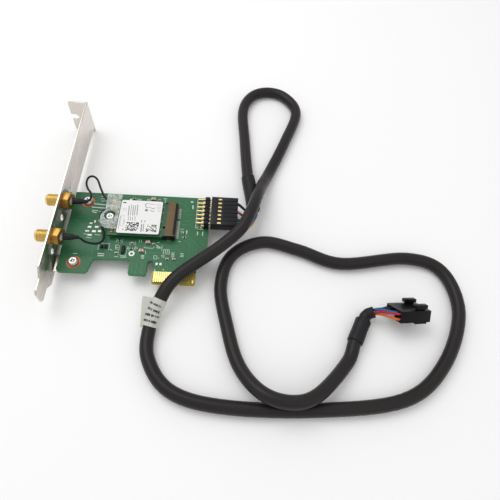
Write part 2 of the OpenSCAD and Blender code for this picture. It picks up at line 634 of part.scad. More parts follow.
// The crimp plug on the header pins: a housing with square cavities and windows
module plug_housing() {
    color("#33343a") difference() {
        translate([plug_x, header_yc - columns * pitch / 2, board_z2 + 0.05])
            cube([plug_l, columns * pitch, plug_h - 0.1]);
        for (cy = column_y, z = row_z)
            translate([plug_x - 1, cy - cavity_w / 2, z - cavity_w / 2])
                cube([plug_l + 2, cavity_w, cavity_w]);
        for (cy = column_y, s = [0, 1])
            translate([plug_x + 3.5, cy - 0.75, s ? row_z[1] : board_z2 - 1]) cube([1.9, 1.5, 2]);
        for (i = [1 : columns - 1])
            translate([plug_x + 6.6, header_yc + (i - columns / 2) * pitch - 0.15, board_z2 + plug_h - 0.35])
                cube([plug_l, 0.3, 1]);
    }
}
module plug_terminals() color("gold") for (cy = column_y, z = row_z)
    translate([plug_x + 1, cy - terminal_w / 2, z - cavity_w / 2]) difference() {
        cube([9, terminal_w, terminal_w]);
        translate([-1, terminal_w / 2 - pin_t / 2 - slack, cavity_w / 2 - pin_t / 2 - slack])
            cube([plug_l, pin_t + 2 * slack, pin_t + 2 * slack]);
    }

// Wires from the plug into the sleeve at the start of the cable
wire_colors = ["black", "royalblue", "limegreen", "crimson", "darkorange", "white", "goldenrod"];
wire_start_x = plug_x2 - 2.6;
function bundle(i) = i == 0 ? [0, 0] : 1.27 * [cos(60 * i), sin(60 * i)];
near_dir = unit(ROUTE[0] - near_mouth);
near_side = unit(cross(near_dir, [0, 0, 1]));
module plug_wires() for (i = [0 : 6]) {
    row = i % 2;
    b = bundle([5, 6, 4, 1, 0, 2, 3][i]);
    end = ROUTE[0] + near_side * b[0] + [0, 0, b[1]];
    start = [wire_start_x, column_y[i], row_z[row]];
    mouth = near_mouth + near_side * b[0] + [0, 0, b[1]];
    color(wire_colors[i]) sweep(concat([start],
        bezier([plug_x2 + 0.5, column_y[i], row_z[row]], [plug_x2 + 4.5, column_y[i] - 2, row_z[row] - 2],
            mouth - near_dir * 8, mouth, 8), [end]), wire_r, 8);
}
module shrink_tube(a, b) color("#1c1c22") along(a, b) difference() {
    cylinder(r = cable_r + 0.15 + sleeve_t, h = norm(b - a));
    translate([0, 0, -1]) cylinder(r = cable_r + 0.15, h = norm(b - a) + 2);
}
module plug_sleeve() shrink_tube(near_mouth, ROUTE[1]);

// The sheathed cable
module cable_sheath() color("#3a3839") sweep(spline(ROUTE, 2), cable_r, 12);

// A paper label wrapped round the cable, with its ends stuck together as a flag
module cable_label() {
    route = spline([for (i = [label_at : label_at + 1]) ROUTE[i]], 2);
    bend = spline(ROUTE, 2)[2 * label_at + 1];
    wrap = [route[0], bend, route[2]];
    longer = [route[0] - 0.1 * (bend - route[0]), bend, route[2] + 0.1 * (route[2] - bend)];
    color("gainsboro") difference() {
        sweep(wrap, cable_r + 0.4, 12);
        sweep(longer, cable_r + 0.15, 12);
    }
    color("gainsboro") along(route[0], route[2]) rotate([90, 0, 90]) linear_extrude(0.25)
        polygon([[-cable_r - 0.3, 0.6], [-cable_r - 5.4, 1.2], [-cable_r - 4.4, 5],
            [-cable_r - 1, 15.4], [-cable_r - 0.3, 15], [-cable_r - 0.3, 12]]);
}

// The far end: a shrink sleeve, a smaller one bent towards the plug, wires and the end plug
tail_end = ROUTE[len(ROUTE) - 1];
tail_before = ROUTE[len(ROUTE) - 2];
tail_bend = [tail_end, [152.9, 1.2, 4], [154.6, 2.6, 4.9], [157, 3, 6.2]];
// Turns a direction of the end housing into a direction of the card
function in_card(v) = let (cr = cos(tail_roll), sr = sin(tail_roll), cp = cos(tail_pitch_a),
    sp = sin(tail_pitch_a), cy = cos(tail_yaw), sy = sin(tail_yaw),
    y = v[1] * cr + v[2] * sr, z = v[2] * cr - v[1] * sr, x = v[0] * cp + z * sp)
    [x * cy - y * sy, x * sy + y * cy, z * cp - v[0] * sp];
tail_corner = [166.9, -4.9, -in_card([tail_l, tail_w, 0])[2] + 0.02];
module tail_sleeve() shrink_tube(tail_before, tail_end + 0.06 * (tail_end - tail_before));
module tail_inner_sleeve() color("#2a2a30") sweep(spline(tail_bend, 3), cable_r - 0.4, 12);
module in_tail() translate(tail_corner) rotate([-tail_roll, tail_pitch_a, tail_yaw]) children();
function tail_point(x, y, z) = tail_corner + in_card([x, y, z]);
module tail_wires() {
    out = tail_bend[len(tail_bend) - 1];
    dir = unit(out - tail_bend[len(tail_bend) - 2]);
    side = unit(cross(dir, [0, 0, 1]));
    for (i = [0 : 6]) {
        b = bundle([1, 6, 2, 0, 3, 5, 4][i]);
        start = out + side * b[0] + [0, 0, b[1]];
        y = tail_w / 2 + [-2, -2, -1, 0, 1, 2, 2][i] * pitch;
        z = tail_h / 2 + [1, -1, 1, -1, 1, -1, 1][i] * 1.3;
        end = tail_point(0, y, z);
        color(wire_colors[i]) sweep(concat(bezier(start, start + dir * 3, end - in_card([2, 0, 0]), end, 8),
            [tail_point(4, y, z)]), wire_r, 8);
    }
}
module tail_housing() color("#26262b") in_tail() difference() {
    union() {
        cube([tail_l, tail_w, tail_h]);
        for (y = [0.4, tail_w - 3.4]) translate([7.8, y, tail_h - eps]) {
            translate([0.8, 0.7, 0]) cube([4.6, 1.6, 1]);
            translate([0, 0, 0.9]) cube([6.2, 3, 1.7]);
        }
        translate([8, 0.4, -0.9]) cube([6.2, 3, 0.9 + eps]);
    }
    for (i = [-2 : 2], z = [-1, 1])
        translate([-1, tail_w / 2 + i * pitch - cavity_w / 2, tail_h / 2 + z * 1.3 - cavity_w / 2])
            cube([tail_l + 2, cavity_w, cavity_w]);
}
module tail_terminals() color("gold") in_tail() for (i = [-2 : 2], z = [-1, 1])
    translate([5, tail_w / 2 + i * pitch - terminal_w / 2, tail_h / 2 + z * 1.3 - cavity_w / 2]) difference() {
        cube([9, terminal_w, terminal_w]);
        translate([3, terminal_w / 2 - 0.4, terminal_w / 2 - 0.4]) cube([9, 0.8, 0.8]);
    }

module placed() translate([-origin_x, -origin_y, 0]) children();
placed() bracket();
placed() bracket_screws();
placed() adapter_board();
placed() edge_contacts();
placed() board_pads();
placed() copper_rings();
placed() upper_jack_body();
placed() lower_jack_body();
placed() jack_insulators();
placed() jack_contacts();
placed() lead_ferrules();
placed() lead_sleeves();
placed() upper_antenna_lead();
placed() lower_antenna_lead();
placed() lead_plugs();
placed() module_jacks();
placed() module_board();
placed() module_shield();
placed() module_label();
placed() module_parts();
placed() module_standoff();
placed() module_screw();
placed() clear_film();
placed() module_socket();
placed() socket_contacts();
placed() header_strip();
placed() header_pins();
placed() large_capacitors();
placed() small_capacitors();
placed() resistors();
placed() transistors();
placed() plug_housing();
placed() plug_terminals();
placed() plug_wires();
placed() plug_sleeve();
placed() cable_sheath();
placed() cable_label();
placed() tail_sleeve();
placed() tail_inner_sleeve();
placed() tail_wires();
placed() tail_housing();
placed() tail_terminals();
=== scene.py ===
# Wireless adapter card with its slot bracket, radio module and sheathed cable.
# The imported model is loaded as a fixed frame; this script adds the looks around it.
import bpy
import math
import random
from mathutils import Matrix, Vector


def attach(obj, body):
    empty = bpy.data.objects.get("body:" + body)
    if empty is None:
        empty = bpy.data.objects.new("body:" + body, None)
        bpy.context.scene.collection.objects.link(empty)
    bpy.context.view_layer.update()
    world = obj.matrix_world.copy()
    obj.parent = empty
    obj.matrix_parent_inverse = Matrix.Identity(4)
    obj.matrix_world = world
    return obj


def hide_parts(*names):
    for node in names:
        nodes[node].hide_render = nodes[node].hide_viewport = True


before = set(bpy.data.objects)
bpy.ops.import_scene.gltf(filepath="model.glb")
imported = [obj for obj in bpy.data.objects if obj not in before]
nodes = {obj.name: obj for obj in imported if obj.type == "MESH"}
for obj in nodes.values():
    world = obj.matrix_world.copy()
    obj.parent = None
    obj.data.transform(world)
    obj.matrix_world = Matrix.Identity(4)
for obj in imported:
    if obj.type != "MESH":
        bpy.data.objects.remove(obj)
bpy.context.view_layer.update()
random.seed(11)
print("frame loaded,", len(nodes), "nodes")

# The part's source counts from the bracket and the tongue, the frame from the middle of the card
cardMiddle = (34.32, 60.0)


def card(x, y, z):
    return Vector(((x - cardMiddle[0]) / 1000, (y - cardMiddle[1]) / 1000, z / 1000))


def mm(value):
    return value / 1000


# Camera at the photograph's angle
view = {"place": (51.643, -148.707, 208.1), "turn": (0.54817, -0.06085, 0.0177), "lens": 33.0746}
bpy.ops.object.select_all(action="DESELECT")
bpy.ops.object.camera_add(location=[mm(v) for v in view["place"]], rotation=view["turn"])
camera = bpy.context.object
camera.name = "photoCamera"
camera.data.lens = view["lens"]
camera.data.sensor_width = 36
camera.data.clip_start = 0.01
bpy.context.scene.camera = camera


# Helpers
def linear(hexColor):
    values = [int(hexColor[i:i + 2], 16) / 255 for i in (1, 3, 5)]
    return tuple(v / 12.92 if v <= 0.04045 else ((v + 0.055) / 1.055) ** 2.4 for v in values) + (1.0,)


# A shader node with its settings. An input goes by its name, or by its number as i0, i1 where names repeat
def addNode(tree, kind, settings=None, **inputs):
    node = tree.nodes.new("ShaderNode" + kind)
    for key, value in (settings or {}).items():
        setattr(node, key, value)
    for key, value in inputs.items():
        byIndex = key[0] == "i" and key[1:].isdigit()
        socket = node.inputs[int(key[1:])] if byIndex else node.inputs[key.replace("_", " ")]
        if isinstance(value, bpy.types.NodeSocket):
            tree.links.new(value, socket)
        else:
            socket.default_value = value
    return node


def startMaterial(name):
    material = bpy.data.materials.new(name)
    material.use_nodes = True
    tree = material.node_tree
    return material, tree, tree.nodes["Principled BSDF"], addNode(tree, "TexCoord").outputs


# The colour goes to the shader, and a pattern raises its surface, by a depth in millimetres
def coverShader(tree, shader, color, pattern, strength, depth):
    tree.links.new(color.outputs[2], shader.inputs["Base Color"])
    raised = addNode(tree, "Bump", Strength=strength, Distance=mm(depth), Height=pattern.outputs["Fac"])
    tree.links.new(raised.outputs["Normal"], shader.inputs["Normal"])


# A pattern's low parts are glossier and its high parts duller
def varyGloss(tree, shader, pattern, low, high):
    dull = addNode(tree, "MapRange", Value=pattern.outputs["Fac"], i1=0.3, i2=0.7, i3=low, i4=high)
    tree.links.new(dull.outputs["Result"], shader.inputs["Roughness"])


def makeActive(thing):
    bpy.ops.object.select_all(action="DESELECT")
    thing.select_set(True)
    bpy.context.view_layer.objects.active = thing


def applyPlace(thing):
    makeActive(thing)
    bpy.ops.object.transform_apply(location=True, rotation=True, scale=True)
    return thing


def addModifier(thing, kind, **settings):
    makeActive(thing)
    modifier = thing.modifiers.new(kind.lower(), kind)
    for key, value in settings.items():
        setattr(modifier, key, value)
    bpy.ops.object.modifier_apply(modifier=modifier.name)


def paint(thing, material):
    thing.data.materials.clear()
    thing.data.materials.append(material)
    return thing


def joinPieces(name, things):
    bpy.ops.object.select_all(action="DESELECT")
    for thing in things:
        thing.select_set(True)
    bpy.context.view_layer.objects.active = things[0]
    if len(things) > 1:
        bpy.ops.object.join()
    piece = bpy.context.view_layer.objects.active
    piece.name = name
    piece.data.name = name
    return piece


# The last steps of every piece: place into mesh, finish, body and replaced nodes
def finishPiece(piece, material=None, replaces=(), smooth=None):
    applyPlace(piece)
    if smooth is not None:
        bpy.ops.object.shade_smooth_by_angle(angle=math.radians(smooth))
    if material:
        paint(piece, material)
    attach(piece, "root")
    if replaces:
        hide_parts(*replaces)
    return piece


# A block between two corners given in card millimetres
def addBlock(low, high, bevel):
    middle = card(*[(a + b) / 2 for a, b in zip(low, high)])
    bpy.ops.object.select_all(action="DESELECT")
    bpy.ops.mesh.primitive_cube_add(size=1, location=middle, scale=[mm(b - a) for a, b in zip(low, high)])
    block = applyPlace(bpy.context.object)
    addModifier(block, "BEVEL", width=mm(bevel), segments=2, limit_method="ANGLE")
    return block


# A flat bar along a line on a surface, as print or copper has it. Its ends reach a little past the line
def addBar(x1, y1, x2, y2, width, low, high):
    length = math.hypot(x2 - x1, y2 - y1) + width * 0.6
    bpy.ops.object.select_all(action="DESELECT")
    bpy.ops.mesh.primitive_cube_add(
        size=1, location=card((x1 + x2) / 2, (y1 + y2) / 2, (low + high) / 2),
        rotation=(0, 0, math.atan2(y2 - y1, x2 - x1)), scale=(mm(length), mm(width), mm(high - low)))
    return bpy.context.object


def addBars(name, bars, low, high, material, thin=1.0):
    things = [addBar(x1, y1, x2, y2, width * thin, low, high) for x1, y1, x2, y2, width in bars]
    return paint(joinPieces(name, things), material)


def addDisc(x, y, low, high, radius, topRadius=None, sides=16):
    bpy.ops.object.select_all(action="DESELECT")
    bpy.ops.mesh.primitive_cone_add(vertices=sides, radius1=mm(radius), radius2=mm(topRadius or radius),
                                    depth=mm(high - low), location=card(x, y, (low + high) / 2))
    return bpy.context.object


# A turned piece: pairs of length and radius, spun round a line along X
def addTurned(name, outline, y, z, steps=48):
    mesh = bpy.data.meshes.new(name)
    count = len(outline)
    mesh.from_pydata([(mm(radius), 0, mm(along)) for along, radius in outline],
                     [(i, (i + 1) % count) for i in range(count)], [])
    thing = bpy.data.objects.new(name, mesh)
    bpy.context.scene.collection.objects.link(thing)
    addModifier(thing, "SCREW", angle=2 * math.pi, screw_offset=0, steps=steps, render_steps=steps,
                use_merge_vertices=True, merge_threshold=0.000001, use_smooth_shade=False)
    bpy.ops.object.mode_set(mode="EDIT")
    bpy.ops.mesh.select_all(action="SELECT")
    bpy.ops.mesh.normals_make_consistent(inside=False)
    bpy.ops.object.mode_set(mode="OBJECT")
    thing.rotation_euler = (0, math.pi / 2, 0)
    thing.location = card(0, y, z)
    return applyPlace(thing)


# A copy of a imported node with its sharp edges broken
def soften(name, width, slot, material, smooth=35):
    mesh = nodes[name].data.copy()
    piece = bpy.data.objects.new(name + "Soft", mesh)
    bpy.context.scene.collection.objects.link(piece)
    makeActive(piece)
    bpy.ops.object.mode_set(mode="EDIT")
    bpy.ops.mesh.select_all(action="SELECT")
    bpy.ops.mesh.remove_doubles(threshold=0.000001)
    bpy.ops.mesh.dissolve_limited(angle_limit=math.radians(1))
    bpy.ops.object.mode_set(mode="OBJECT")
    addModifier(piece, "BEVEL", width=mm(width), segments=2, limit_method="ANGLE",
                angle_limit=math.radians(35))
    return finishPiece(piece, material, [name], smooth)


# The curve through the points that the part's source uses
def smoothLine(points, steps):
    line = []
    last = len(points) - 1
    for i in range(last):
        a, b, c, d = points[max(i - 1, 0)], points[i], points[i + 1], points[min(i + 2, last)]
        for k in range(steps):
            t = k / steps
            line.append(0.5 * (2 * b + (c - a) * t + (2 * a - 5 * b + 4 * c - d) * t * t
                               + (3 * b - a - 3 * c + d) * t ** 3))
    return line + [points[-1]]


# A bend from a to d that leaves towards b and arrives from c
def bendLine(a, b, c, d, steps):
    return [(1 - t) ** 3 * a + 3 * (1 - t) ** 2 * t * b + 3 * (1 - t) * t * t * c + t ** 3 * d
            for t in [k / steps for k in range(steps + 1)]]


# A mesh tube with its own radius at each point and a UV map: u round it, v along it
def ringsTube(name, line, radii, sides):
    count = len(line)
    points, faces, uvs = [], [], []
    lengths = [0.0]
    for a, b in zip(line, line[1:]):
        lengths.append(lengths[-1] + (b - a).length)
    for i, place in enumerate(line):
        ahead = (line[min(i + 1, count - 1)] - line[max(i - 1, 0)]).normalized()
        side = ahead.cross(Vector((0, 0, 1))).normalized()
        up = side.cross(ahead)
        for k in range(sides):
            angle = 2 * math.pi * k / sides
            points.append(place + mm(radii[i]) * (math.cos(angle) * side + math.sin(angle) * up))
    for i in range(count - 1):
        for k in range(sides):
            after = (k + 1) % sides
            faces.append((i * sides + k, i * sides + after, (i + 1) * sides + after, (i + 1) * sides + k))
            uvs.append(((k / sides, lengths[i]), ((k + 1) / sides, lengths[i]),
                        ((k + 1) / sides, lengths[i + 1]), (k / sides, lengths[i + 1])))
    faces.append(tuple(range(sides - 1, -1, -1)))
    faces.append(tuple((count - 1) * sides + k for k in range(sides)))
    mesh = bpy.data.meshes.new(name)
    mesh.from_pydata(points, [], faces)
    layer = mesh.uv_layers.new(name="UVMap")
    for face, corners in zip(mesh.polygons, uvs):
        for loop, corner in zip(face.loop_indices, corners):
            layer.data[loop].uv = corner
    for face in mesh.polygons:
        face.use_smooth = len(face.vertices) == 4
    thing = bpy.data.objects.new(name, mesh)
    bpy.context.scene.collection.objects.link(thing)
    return thing


asColor = {"data_type": "RGBA"}


# Materials. A finish has fine noise in its colour, roughness and bump. Its grain counts patterns a metre,
# so 900 is 1.1 mm; real grit and plating grain are finer, and are drawn this coarse so that they show
def plainFinish(name, color, roughness, metallic=0, grain=400, tint=0.06, shine=0.06, bump=0.05,
                depth=0.02, specular=0.35):
    material, tree, shader, place = startMaterial(name)
    noise = addNode(tree, "TexNoise", Vector=place["Object"], Scale=grain, Detail=5, Roughness=0.6)
    darker = [v * (1 - tint * 2) for v in linear(color)[:3]] + [1]
    lighter = [min(1, v * (1 + tint * 2)) for v in linear(color)[:3]] + [1]
    mix = addNode(tree, "Mix", asColor, Factor=noise.outputs["Fac"], i6=darker, i7=lighter)
    coverShader(tree, shader, mix, noise, bump, depth)
    varyGloss(tree, shader, noise, max(0.02, roughness - shine), roughness + shine)
    shader.inputs["Metallic"].default_value = metallic
    shader.inputs["Specular IOR Level"].default_value = specular
    return material


# Zinc plated mild steel sheet, rolled then stamped: faint rolling lines along the strip, 0.5 mm apart and
# 17 mm long, and soft clouds of warmer and cooler grey
def makePlatedSteel():
    material, tree, shader, place = startMaterial("zincPlatedSteel")
    stretched = addNode(tree, "Mapping", Vector=place["Object"], Scale=(2200, 60, 2200))
    lines = addNode(tree, "TexNoise", Vector=stretched.outputs["Vector"], Scale=1, Detail=4)
    clouds = addNode(tree, "TexNoise", Vector=place["Object"], Scale=90, Detail=3)
    mix = addNode(tree, "Mix", asColor, Factor=clouds.outputs["Fac"],
                  i6=linear("#cdc6bf"), i7=linear("#ded8d1"))
    coverShader(tree, shader, mix, lines, 0.12, 0.02)
    varyGloss(tree, shader, lines, 0.22, 0.32)
    shader.inputs["Metallic"].default_value = 1.0
    return material


# Solder mask over fibreglass: lacquer on the faces, and edge colours on the faces that do not face up or
# down: routed edges with a film of lacquer on the adapter board, and on the module a near black painted
# shade for the dark gap under its edge. Beyond the corner bareFrom (card x and y) the contact tab has no
# lacquer and shows the bare laminate
def makeSolderMask(name, low, high, edge, edgeHigh, bareFrom=None):
    material, tree, shader, place = startMaterial(name)
    clouds = addNode(tree, "TexNoise", Vector=place["Object"], Scale=60, Detail=2)
    weave = addNode(tree, "TexWave", {"bands_direction": "DIAGONAL"},
                    Vector=place["Object"], Scale=160, Distortion=1.5, Detail=2)
    mask = addNode(tree, "Mix", asColor, Factor=clouds.outputs["Fac"], i6=linear(low), i7=linear(high))
    weaved = addNode(tree, "Mix", {"data_type": "RGBA", "blend_type": "OVERLAY"}, Factor=0.04,
                     i6=mask.outputs[2], i7=weave.outputs["Color"])
    facing = addNode(tree, "NewGeometry")
    parts = addNode(tree, "SeparateXYZ", Vector=facing.outputs["Normal"])
    upright = addNode(tree, "Math", {"operation": "ABSOLUTE"}, i0=parts.outputs["Z"])
    isFace = addNode(tree, "Math", {"operation": "GREATER_THAN"}, i0=upright.outputs[0], i1=0.96)
    fibres = addNode(tree, "TexNoise", Vector=place["Object"], Scale=1800, Detail=3)
    # Edge colours: laminate on the adapter board, painted shade on the module
    edgeTone = addNode(tree, "Mix", asColor, Factor=fibres.outputs["Fac"],
                       i6=linear(edge), i7=linear(edgeHigh))
    whole = addNode(tree, "Mix", asColor, Factor=isFace.outputs[0],
                    i6=edgeTone.outputs[2], i7=weaved.outputs[2])
    if bareFrom:
        corner = card(*bareFrom, 0)
        spot = addNode(tree, "SeparateXYZ", Vector=place["Object"])
        pastX = addNode(tree, "Math", {"operation": "GREATER_THAN"}, i0=spot.outputs["X"], i1=corner.x)
        belowY = addNode(tree, "Math", {"operation": "LESS_THAN"}, i0=spot.outputs["Y"], i1=corner.y)
        isBare = addNode(tree, "Math", {"operation": "MULTIPLY"}, i0=pastX.outputs[0], i1=belowY.outputs[0])
        bare = addNode(tree, "Mix", asColor, Factor=fibres.outputs["Fac"],
                       i6=linear("#96862f"), i7=linear("#b8a548"))
        whole = addNode(tree, "Mix", asColor, Factor=isBare.outputs[0],
                        i6=whole.outputs[2], i7=bare.outputs[2])
    coverShader(tree, shader, whole, weave, 0.08, 0.02)
    dull = addNode(tree, "MapRange", Value=isFace.outputs[0], i3=0.75, i4=0.36)
    tree.links.new(dull.outputs["Result"], shader.inputs["Roughness"])
    shader.inputs["Specular IOR Level"].default_value = 0.3
    return material


# Black nylon socket body, its high upward faces painted brown: painted light for the lit top
def makeSocketNylon():
    material, tree, shader, place = startMaterial("socketNylonPaintedLitTop")
    grain = addNode(tree, "TexNoise", Vector=place["Object"], Scale=500, Detail=4)
    # Painted light: brown on the lit top faces, the body's black elsewhere
    paintedLitTop = addNode(tree, "Mix", asColor, Factor=grain.outputs["Fac"],
                   i6=linear("#5c4a30"), i7=linear("#715c3e"))
    body = addNode(tree, "Mix", asColor, Factor=grain.outputs["Fac"],
                   i6=linear("#131315"), i7=linear("#202023"))
    facing = addNode(tree, "NewGeometry")
    parts = addNode(tree, "SeparateXYZ", Vector=facing.outputs["Normal"])
    height = addNode(tree, "SeparateXYZ", Vector=place["Object"])
    isTop = addNode(tree, "Math", {"operation": "GREATER_THAN"}, i0=parts.outputs["Z"], i1=0.8)
    isHigh = addNode(tree, "Math", {"operation": "GREATER_THAN"}, i0=height.outputs["Z"], i1=mm(11.3))
    both = addNode(tree, "Math", {"operation": "MULTIPLY"}, i0=isTop.outputs[0], i1=isHigh.outputs[0])
    whole = addNode(tree, "Mix", asColor, Factor=both.outputs[0], i6=body.outputs[2], i7=paintedLitTop.outputs[2])
    coverShader(tree, shader, whole, grain, 0.15, 0.03)
    shader.inputs["Roughness"].default_value = 0.42
    shader.inputs["Specular IOR Level"].default_value = 0.25
    return material


# Soft PVC jacket with a matt drawn skin: fine grey bloom, and faint drawn marks along the run, 40 round
# the cable and 40 mm long. In its UV map u is one turn and v is metres
def makeSheathRubber():
    material, tree, shader, place = startMaterial("softPvcJacket")
    grain = addNode(tree, "TexNoise", Vector=place["Object"], Scale=900, Detail=6, Roughness=0.7)
    drawn = addNode(tree, "Mapping", Vector=place["UV"], Scale=(40, 25, 1))
    marks = addNode(tree, "TexNoise", Vector=drawn.outputs["Vector"], Scale=1, Detail=3)
    clouds = addNode(tree, "TexNoise", Vector=place["Object"], Scale=35, Detail=3)
    body = addNode(tree, "Mix", asColor, Factor=clouds.outputs["Fac"],
                   i6=linear("#171414"), i7=linear("#262222"))
    bloom = addNode(tree, "Mix", asColor, Factor=grain.outputs["Fac"],
                    i6=body.outputs[2], i7=linear("#2e2a2a"))
    coverShader(tree, shader, bloom, grain, 0.25, 0.05)
    varyGloss(tree, shader, marks, 0.28, 0.4)
    shader.inputs["Specular IOR Level"].default_value = 0.2
    return material


# Heat-shrink polyolefin: black, with soft wrinkles of some 3 by 6 mm and a patchy shine
def makeHeatShrink():
    material, tree, shader, place = startMaterial("heatShrinkPolyolefin")
    drawn = addNode(tree, "Mapping", Vector=place["UV"], Scale=(9, 180, 1))
    folds = addNode(tree, "TexNoise", Vector=drawn.outputs["Vector"], Scale=1, Detail=4)
    grain = addNode(tree, "TexNoise", Vector=place["Object"], Scale=700, Detail=5)
    body = addNode(tree, "Mix", asColor, Factor=grain.outputs["Fac"],
                   i6=linear("#111114"), i7=linear("#29292c"))
    coverShader(tree, shader, body, folds, 0.5, 0.12)
    varyGloss(tree, shader, folds, 0.34, 0.6)
    shader.inputs["Specular IOR Level"].default_value = 0.22
    return material


# Clear polyester film: see-through, with a soft shine, small wrinkles and milky patches of 2 to 4 mm
def makeClearFilm(name, color, alpha, wrinkle):
    material, tree, shader, place = startMaterial(name)
    wrinkles = addNode(tree, "TexNoise", Vector=place["Object"], Scale=260, Detail=4)
    patches = addNode(tree, "TexNoise", Vector=place["Object"], Scale=420, Detail=3, Roughness=0.7)
    spread = addNode(tree, "MapRange", Value=patches.outputs["Fac"], i1=0.42, i2=0.58)
    mottle = addNode(tree, "Mix", asColor, Factor=spread.outputs["Result"],
                     i6=linear("#aab6ae"), i7=linear(color))
    coverShader(tree, shader, mottle, wrinkles, 0.8, wrinkle)
    shader.inputs["Roughness"].default_value = 0.12
    shader.inputs["Alpha"].default_value = alpha
    return material


steel = makePlatedSteel()
# Pressed steel under nickel: a small bright head with soft grey sides
screwSteel = plainFinish("nickelPlatedScrewSteel", "#b2b4ae", 0.22, metallic=0.95, grain=900, tint=0.05)
# Lacquer over woven glass: an even green, darker on the module
boardMask = makeSolderMask("greenSolderMask", "#27603e", "#326e48", "#39744a", "#4d8a58", (48, 19.4))
# The module's edge colours are near black: painted shade for the dark gap under its edge
moduleMask = makeSolderMask("moduleSolderMask", "#1d5636", "#286644", "#15160f", "#2b2c20")
# Electroplated gold: pale on the hard contacts, thinner on pins and stamped bronze, deep and glossy on
# turned brass, and painted browner and darker on the hexagons, a painted reflection of dark surroundings in
# their flats
hardGold = plainFinish("hardGoldPlate", "#f2da8c", 0.3, metallic=0.75, grain=1500, tint=0.05)
pinGold = plainFinish("pinGoldFlash", "#e2d09a", 0.34, metallic=0.7, grain=1500, tint=0.06)
terminalBronze = plainFinish("phosphorBronzeTerminal", "#e8d898", 0.34, metallic=0.7, grain=1500, tint=0.05)
jackGold = plainFinish("goldPlatedBrass", "#e6c678", 0.2, metallic=0.92, grain=700, tint=0.06)
# Painted reflection: the same gold plating, darker and browner for the hexagon's flats
hexGoldDarkReflection = plainFinish("goldPlatedBrassPaintedDarkReflection", "#b88c48", 0.3, metallic=0.9, grain=700, tint=0.1)
# Copper left bare under flux is a dull orange; tin that flowed and froze is grey with a soft grain
bareCopper = plainFinish("fluxedCopper", "#b4633c", 0.4, metallic=0.5, grain=900, tint=0.12)
solderTin = plainFinish("tinSolder", "#b2b4ab", 0.36, metallic=0.85, grain=1200, tint=0.1, bump=0.3)
# Tin on stamped steel: an even grey sheen
tinPlate = plainFinish("tinPlatedSteel", "#c4c4c0", 0.32, metallic=0.95, grain=500, tint=0.05)
# Turned fluoroplastic: a waxy off-white
insulatorWhite = plainFinish("whiteFluoroplastic", "#e9e6dc", 0.4, grain=600, tint=0.02)
# Extruded thin jacket: near black with a narrow shine along it
leadBlack = plainFinish("extrudedBlackJacket", "#14171a", 0.34, grain=900, tint=0.1, specular=0.22)
heatShrink = makeHeatShrink()
# Small stamped brass under tin: cream, with a weak shine
plugCream = plainFinish("snapPlugTinBrass", "#dcc99c", 0.4, metallic=0.3, grain=900, tint=0.05)
# Coated paper is a flat near-white; the wrapped label is grey with a slight ripple
labelPaper = plainFinish("coatedLabelPaper", "#ececea", 0.55, grain=900, tint=0.012, bump=0.06)
wrapPaper = plainFinish("greyWrapLabel", "#c6c7bd", 0.45, grain=700, tint=0.05, bump=0.15)
# Fired ceramic is a matt tan, moulded epoxy a matt black with fine grit
chipCeramic = plainFinish("firedCeramic", "#c58a70", 0.45, grain=1500, tint=0.08)
chipBlack = plainFinish("blackEpoxy", "#161618", 0.42, grain=1500, tint=0.15, specular=0.22)
film = makeClearFilm("clearPolyesterFilm", "#f6faf7", 0.32, 0.2)
socketNylon = makeSocketNylon()
# Moulded nylons: glass fibre makes the header dull, and the end plug came smoother from its mould
headerBlack = plainFinish("glassFilledNylon", "#141416", 0.42, grain=1100, tint=0.12, bump=0.2, specular=0.2)
plugBlack = plainFinish("mouldedBlackNylon", "#1c1d21", 0.42, grain=900, tint=0.1, bump=0.2, specular=0.25)
tailBlack = plainFinish("satinBlackNylon", "#0f0f11", 0.3, grain=900, tint=0.1, bump=0.15, specular=0.18)
sheathRubber = makeSheathRubber()
# Screen print and label inks: matt and a little uneven
printInk = plainFinish("screenPrintedInk", "#c4d5c6", 0.55, grain=1500, tint=0.05)
labelInk = plainFinish("greyLabelInk", "#8f9294", 0.6, grain=1500, tint=0.08)
faintInk = plainFinish("paleLabelInk", "#bcbdbf", 0.6, grain=1500, tint=0.05)
darkInk = plainFinish("blackLabelInk", "#3d3f42", 0.6, grain=1500, tint=0.1)
# Copper and plated holes under the lacquer are a lighter green, and two dots on the board are dark
buriedCopper = plainFinish("maskedCopperTrack", "#3b7a53", 0.36, grain=900, tint=0.05, specular=0.3)
maskedHole = plainFinish("maskedPlatedHole", "#5f9372", 0.36, grain=900, tint=0.05, specular=0.3)
darkDotMaterial = plainFinish("darkBoardDot", "#1c2a20", 0.6, grain=900, tint=0.1)

finishes = {
    "edge_contacts": hardGold, "jack_contacts": hardGold, "module_jacks": hardGold,
    "plug_terminals": terminalBronze, "tail_terminals": terminalBronze, "board_pads": solderTin,
    "copper_rings": bareCopper, "jack_insulators": insulatorWhite, "lead_ferrules": tinPlate,
    "module_standoff": tinPlate, "socket_contacts": solderTin, "module_label": labelPaper,
    "clear_film": film, "cable_label": wrapPaper, "adapter_board": boardMask, "module_board": moduleMask,
}
for name, material in finishes.items():
    paint(nodes[name], material)

softEdges = {
    "bracket": (0.12, "plated_steel", steel), "bracket_screws": (0.1, "nickel_screw", screwSteel),
    "module_screw": (0.08, "nickel_screw", screwSteel), "module_shield": (0.12, "tinned_metal", tinPlate),
    "module_socket": (0.12, "socket_brown", socketNylon), "header_strip": (0.1, "header_black", headerBlack),
    "header_pins": (0.06, "gold_contact", pinGold), "plug_housing": (0.12, "plug_black", plugBlack),
    "tail_housing": (0.18, "tail_black", tailBlack), "large_capacitors": (0.1, "chip_tan", chipCeramic),
    "small_capacitors": (0.06, "chip_tan", chipCeramic), "module_parts": (0.04, "chip_tan", chipCeramic),
    "resistors": (0.04, "chip_black", chipBlack), "transistors": (0.1, "chip_black", chipBlack),
    "lead_plugs": (0.08, "lead_plug", plugCream),
}
softened = {name: soften(name, *settings) for name, settings in softEdges.items()}
print("materials on", len(finishes), "nodes, edges broken on", len(softened))

